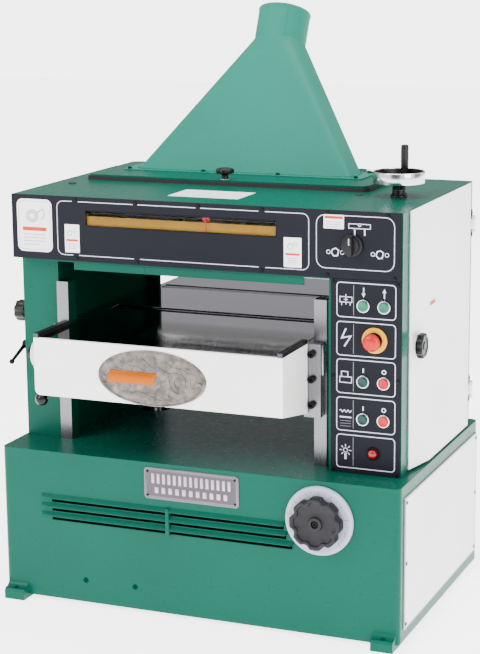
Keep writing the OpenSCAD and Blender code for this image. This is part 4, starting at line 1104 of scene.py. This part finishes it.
def insert_head():
    p = Piece("cutter_body", "cutterhead", "steel", STEEL)
    lo, hi = span("cutterhead")
    y, z = CUTTER
    p.lathe([(0, lo[0]), (16.6, lo[0]), (17.5, lo[0] + 1), (17.5, -360.5), (48, -360.3), (50, -358.5),
        (50, 242), (48, 243.8), (17.5, 244), (17.5, 286), (15, 286.5), (15, 323.5), (56, 324), (56.2, 330.6),
        (48, 334), (48, 342), (56.2, 345), (56.2, 347.6), (48, 351), (48, 359), (56.2, 362), (56.2, 364.6),
        (48, 368), (48, 376), (56.2, 379), (56, 385), (15, 385.6), (15, hi[0] - 1), (14, hi[0]), (0, hi[0])],
        (y, z), "X", 64)
    p.done("cutterhead", angle=30)
    q = Piece("cutter_inserts", "cutterhead", "steel", CHROME)
    for row in range(5):
        for k in range(38):
            x = -350 + 15.4 * k + row * 3
            if x > 232:
                continue
            a = 2 * pi * row / 5 + k * 0.11
            q.turn = Matrix.Translation((x, y, z)) @ Matrix.Rotation(a, 4, "X")
            q.box((-6.6, -3, 46.8), (6.6, 3, 50.6), 0.5, segments=1)
            q.lathe([(0, 50.4), (2.6, 50.4), (2.4, 51.1), (0, 51.2)], (0, 0), "Z", 8)
    q.turn = Matrix.Identity(4)
    q.done()


def make_rollers():
    for node, name, teeth in (("infeed_roller", "serrated_roller", 44),
            ("outfeed_roller", "ground_roller", 0)):
        lo, hi = span(node)
        y, z = 25 if teeth else 265, 825
        p = Piece(name, node, "steel", IRON if teeth else STEEL)
        core = [(0, lo[0]), (11.8, lo[0]), (12.5, lo[0] + 0.8), (12.5, -424), (30, -424), (30.2, -414),
            (12.5, -413.6), (12.5, -362)]
        if teeth:
            rings = [(37, -361.8, 1)] + [(38, -361 + 15.2 * i, 1) for i in range(41)] + [(37, 250, 1)]
        else:
            rings = [(36.8, -361.8), (38, -360.6), (38, 248.8), (36.8, 250)]
        tail = [(12.5, 250.2), (12.5, hi[0] - 0.8), (11.8, hi[0]), (0, hi[0])]
        p.lathe(core + rings + tail, (y, z), "X", teeth * 3 if teeth else 56,
            shape=(lambda a: 1 - 0.028 * ((a * teeth / (2 * pi)) % 1)) if teeth else None)
        p.done(node, angle=24)
    for node in ("bed_roller_front", "bed_roller_rear"):
        lo, hi = span(node)
        y, z = (lo[1] + hi[1]) / 2, (lo[2] + hi[2]) / 2
        p = Piece(node.replace("bed_roller", "table_roller"), node, "steel", ROLLER)
        p.lathe([(0, lo[0]), (7.4, lo[0]), (8, lo[0] + 0.8), (8, lo[0] + 11), (19, lo[0] + 11.4),
            (20, lo[0] + 12.6), (20, hi[0] - 12.6), (19, hi[0] - 11.4), (8, hi[0] - 11), (8, hi[0] - 0.8),
            (7.4, hi[0]), (0, hi[0])], (y, z), "X", 48)
        p.done(node, angle=30)


def make_fingers():
    """Kickback fingers with hooked tips and spacers on their rod."""
    p = Piece("anti_kickback_row", "kickback_fingers", "raw_iron", IRON)
    lo, hi = span("kickback_fingers")
    y, z = FINGER_ROD
    p.lathe([(0, lo[0]), (7.2, lo[0]), (8, lo[0] + 0.8), (8, hi[0] - 0.8), (7.2, hi[0]), (0, hi[0])], (y, z),
        "X", 24)
    step = (610 - 28) / 19
    first = -361 + 14
    shape = [(-13, 4), (-9, 11), (0, 14.5), (9, 11), (13, 3), (12.4, -14), (8, -34), (3.4, -56), (1.6, -58),
        (-3.4, -57.6), (-5.2, -52), (-9.4, -36), (-13, -18)]
    for i in range(20):
        x = first + i * step
        p.prism([(y + u, z + v) for u, v in shape], "X", x - 7, x + 7, bevel=1.1, segments=2)
        if i < 19:
            p.lathe([(8.2, x + 8), (11, x + 8.3), (11.4, x + 10), (11.4, x + step - 10),
                (11, x + step - 8.3), (8.2, x + step - 8)], (y, z), "X", 20, wrap=True)
    p.done("kickback_fingers", angle=30)


def make_table_trim():
    p = Piece("slide_strip", "table", "machined_iron", STEEL_Z)
    p.box((279.1, -222, 589), (283.2, -206.3, 657), 0.7)
    p.lathe([(0, -221.6), (1.6, -222.2), (1.5, -223), (0.6, -223.3), (0, -223.3)], (281.2, 623), "Y", 14)
    p.done()
    p = Piece("apron_corner", "table", "machined_iron", APRON)
    p.tube([(248.4, -384.6, 528.5), (248.5, -384.7, 560), (248.5, -384.7, 620), (248.4, -384.6, 659.8)],
        0.75, 8)
    p.tube([(-359.4, -384.6, 660.3), (-200, -384.7, 660.4), (60, -384.7, 660.4), (247.8, -384.6, 660.3)],
        0.75, 8)
    p.done(angle=60)


# ---- doors, side panel and back


def swage(p, outline, axis, t, out, w):
    """Pressed bead following an outline on a flat sheet."""
    n = len(outline)
    rows = []
    for i, q in enumerate(outline):
        a, b = outline[i - 1], outline[(i + 1) % n]
        d = Vector((b[0] - a[0], b[1] - a[1])).normalized()
        nrm = Vector((-d.y, d.x))
        rows.append([PLACE[axis](q[0] + nrm.x * w * s, q[1] + nrm.y * w * s, t + out * h)
            for s, h in ((-0.5, -0.1), (-0.3, 0.6), (0, 1), (0.3, 0.6), (0.5, -0.1))])
    p.loft(rows, wrap=True)


def pressed(steps, ends, high):
    """Places from 0 to 1 along a pressed vent and its height there, falling to nothing at both ends."""
    fade = lambda s: sin(pi * min(1, s * ends) / 2)
    return [(i / steps, high * fade(i / steps) * fade(1 - i / steps) + 0.05) for i in range(steps + 1)]


def on_door(y, z, up):
    """A point up above the flared face of the right door."""
    flare = (964 - z) / (964 - 378)
    ramp = min(1, max(0, (y + 184) / 96)) if y < 0 else 1
    return (RIGHT_DOOR + 19 * flare * ramp + up, y, z)


def make_doors():
    p = Piece("left_door_bead", "left_door", "green_paint", GREEN)
    swage(p, rounded(-130, 640, 270, 784, 24, 8), "X", LEFT_DOOR, -1.8, 9)
    p.done(angle=60)
    p = Piece("left_door_vents", "left_door", "green_paint", GREEN)
    for k in range(4):
        z = 676 + 22 * k
        rows = []
        for along, b in pressed(12, 6, 5):
            x, y = LEFT_DOOR - b, 10 + 180 * along
            rows.append([(-494.2, y, z + 7), (x + b * 0.4, y, z + 4), (x, y, z), (x + 1.1, y, z - 0.6),
                (-494.2, y, z - 0.8)])
        p.loft(rows)
    p.done(angle=40)
    p = Piece("door_edge", "right_door", "white_paint", WHITE)
    x = RIGHT_DOOR
    p.tube([(x - 0.4, -184.2, 385), (x - 0.4, -184.4, 500), (x - 0.4, -184.4, 800), (x - 0.4, -184.2, 962)],
        0.9, 8)
    p.tube([(x - 0.6, -183, 963.8), (x - 0.6, 0, 964.1), (x - 0.6, 299, 963.8)], 0.9, 8)
    p.done(angle=60)
    p = Piece("door_label", "right_door", "white_paint", LABEL, ORANGE)
    for y0, y1, z0, z1, up, mat in ((-62, -18, 700, 742, 0.35, 0), (-60, -20, 731, 740, 0.6, 1)):
        across = [y0 + (y1 - y0) * i / 6 for i in range(7)]
        p.loft([[on_door(y, z, up) for y in across] + [on_door(y, z, -0.4) for y in across[::-1]]
            for z in (z0, z1)], mat)
    p.done()
    p = Piece("side_panel_edge", "frame", "white_paint", PANEL_EDGE)
    p.loft([[(x, y, z) for y, z in rounded(-283 - d, 37 - d, 300 + d, 343 + d, 5)]
        for d, x in ((0.4, 495), (0.7, 495.6), (0.6, 497.6), (-0.6, 498.5), (-3.4, 498.4), (-3.4, 497.6))],
        wrap=True)
    p.done()
    # hinge leaves with their screws behind the right door
    p = Piece("hinge_leaves", "frame", "green_paint", GREEN)
    for z in (450, 863):
        p.box((470.2, 312, z - 34), (472.4, 321, z + 34), 0.6)
        for k in (-26, 26):
            p.lathe([(0, 472), (3.4, 472.2), (3.2, 473.6), (1.6, 474.2), (0, 474.2)], (316.5, z + k), "X", 14)
    p.done()


def make_back():
    """Details of the back, which the usual view doesn't show."""
    rear = HEAD_REAR
    p = Piece("rear_panel", "frame", "green_paint", GREEN)
    outline = rounded(318, 396, 452, 790, 6)
    p.prism(outline, "Y", rear - 0.4, rear + 1.8, bevel=0.8)
    p.done()
    p = Piece("rear_screws", "frame", "screw_black", BLACK_OXIDE)
    for x in (326, 444):
        for z in (404, 593, 782):
            p.lathe([(0, rear + 1.4), (4.8, rear + 1.6), (4.4, rear + 3.2), (2.4, rear + 4.0),
                (0, rear + 4.0)], (x, z), "Y", 16)
    for x in (-470, -300, -72, 150, 440):
        p.lathe([(0, rear - 0.4), (4.8, rear), (4.4, rear + 1.8), (2.4, rear + 2.6), (0, rear + 2.6)],
            (x, 950), "Y", 16)
    p.done()
    p = Piece("rear_vents", "frame", "green_paint", GREEN)
    for k in range(5):
        z = 120 + 24 * k
        for x0, x1 in ((-300, -60), (60, 300)):
            rows = []
            for along, b in pressed(16, 9, 6):
                x, y = x0 + (x1 - x0) * along, BASE_REAR + b
                rows.append([(x, BASE_REAR - 0.2, z + 9), (x, y - b * 0.4, z + 5), (x, y, z),
                    (x, y - 1.2, z - 0.8), (x, BASE_REAR - 0.2, z - 1)])
            p.loft(rows)
    p.done(angle=40)
    p = Piece("rear_label", "frame", "white_paint", LABEL, DARK_INK)
    p.prism(rounded(-60, 880, 60, 930, 3), "Y", rear - 0.2, rear + 0.3)
    p.stroke(rounded(-57, 883, 57, 927, 2.4), 1.0, "Y", rear + 0.2, rear + 0.45, closed=True, mat=1)
    p.done()


# ---- camera, stage and light

AZ, EL, ROLL = radians(22.634), radians(12.170), radians(-0.5625)
LENS = 101.07

# soft white studio with four darker patches, which give chrome and iron something to show:
# direction, half width in degrees and strength of each
DARK_SIDES = (((-0.4, 0.88, 0.2), 62, 0.3), ((0.05, -1, 0.12), 26, 0.12), ((1, 0.3, 0.05), 24, 0.25),
    ((-1, 0.1, 0.05), 20, 0.3))


def make_camera():
    back = Vector((sin(AZ) * cos(EL), -cos(AZ) * cos(EL), sin(EL)))
    right = Vector((cos(AZ), sin(AZ), 0))
    up = back.cross(right)
    basis = Matrix((right, up, back)).transposed() @ Matrix.Rotation(ROLL, 3, "Z")
    cam = bpy.data.objects.new("camera", bpy.data.cameras.new("camera"))
    cam.matrix_world = Matrix.Translation((1.65022, -3.98210, 1.56378)) @ basis.to_4x4()
    cam.data.lens = LENS
    cam.data.sensor_width = 36
    cam.data.clip_end = 60
    bpy.context.scene.collection.objects.link(cam)
    bpy.context.scene.camera = cam


def area_light(name, at, to, size, power):
    light = bpy.data.lights.new(name, "AREA")
    light.shape = "RECTANGLE"
    light.size, light.size_y = size
    light.energy = power
    o = bpy.data.objects.new(name, light)
    o.location = at
    o.rotation_euler = (Vector(to) - Vector(at)).to_track_quat("-Z", "Y").to_euler()
    bpy.context.scene.collection.objects.link(o)


def make_stage():
    mesh = bpy.data.meshes.new("floor")
    bm = bmesh.new()
    bmesh.ops.create_grid(bm, x_segments=1, y_segments=1, size=14)
    bm.to_mesh(mesh)
    bm.free()
    floor = bpy.data.objects.new("floor", mesh)
    s = Mat("pale_floor", "F2F2F2", 0.55)
    s.tint(s.grey(s.noise(1.3, 3), 0, 1), 0.985, 1.01)
    s.bump(s.noise(160, 2), 0.03, 0.0005)
    s.set(Emission_Color=(1, 1, 1, 1), Emission_Strength=3.2)
    mesh.materials.append(s.m)
    bpy.context.scene.collection.objects.link(floor)
    world = bpy.data.worlds.new("studio")
    world.use_nodes = True
    tree = world.node_tree
    light = tree.nodes["Background"]
    light.inputs["Strength"].default_value = 1.9
    co = new_node(tree, "TexCoord").outputs["Generated"]
    last = None
    for way, wide, dark in DARK_SIDES:
        dot = new_node(tree, "VectorMath")
        dot.operation = "DOT_PRODUCT"
        tree.links.new(co, dot.inputs[0])
        dot.inputs[1].default_value = Vector(way).normalized()
        rim, core = (cos(radians(angle)) for angle in (wide, wide * 0.55))
        near = new_node(tree, "MapRange", Value=dot.outputs["Value"], From_Min=rim, From_Max=core, To_Min=1,
            To_Max=dark).outputs["Result"]
        if last:
            both = new_node(tree, "Math")
            both.operation = "MULTIPLY"
            tree.links.new(last, both.inputs[0])
            tree.links.new(near, both.inputs[1])
            near = both.outputs["Value"]
        last = near
    tree.links.new(last, light.inputs["Color"])
    backdrop = new_node(tree, "Background", Strength=6)
    mix = new_node(tree, "MixShader", Fac=new_node(tree, "LightPath").outputs["Is Camera Ray"])
    tree.links.new(light.outputs[0], mix.inputs[1])
    tree.links.new(backdrop.outputs[0], mix.inputs[2])
    tree.links.new(mix.outputs[0], tree.nodes["World Output"].inputs[0])
    bpy.context.scene.world = world
    area_light("key", (-2.4, -3.4, 3.2), (0, 0, 0.7), (2.2, 2.2), 190)
    area_light("fill", (3.6, -2.2, 2.2), (0, 0, 0.6), (2.0, 2.6), 120)
    area_light("top", (0.2, 0.8, 4.2), (0, 0, 0.9), (3.0, 2.0), 110)
    area_light("hood", (-0.1, -0.25, 2.05), (-0.07, 0.4, 1.2), (0.8, 0.8), 5)


make_camera()
make_stage()
for make in (make_hood, make_cover, make_fascia_print, make_panel_print, make_buttons, make_selector,
        make_dial, make_handwheel, make_levers, make_latches, make_badge, make_name_plate, make_louvre_edges,
        make_screws, insert_head, make_rollers, make_fingers, make_table_trim, make_doors, make_back):
    make()
# second finishes on single faces of CAD nodes
paint_where("gib_set", BLACK_OXIDE, lambda c: c.y < -206.5)
paint_where("table_casting", BLACK_OXIDE, lambda c: c.z > 661.5)
paint_where("table_casting", IRON, lambda c: c.z > 661.5 and c.y < -384.9)
# the rails' inner sides carry green paint overspray, darkened to stand for the dark interior they mirror:
# painted reflection
paint_where("guide_rails", DEEP, lambda c: abs(c.x + 366) < 0.5 or abs(c.x - 284) < 0.5)
# the left column's inner wall painted darker green: painted shade inside the throat
paint_where("left_column", DEEP, lambda c: c.x > -397)
paint_where("depth_scale", DARK_INK, lambda c: c.z > 921.5 or c.x < -300 or c.x > 180)
paint_where("scale_pointer", BLACK_OXIDE, lambda c: c.y > -224)
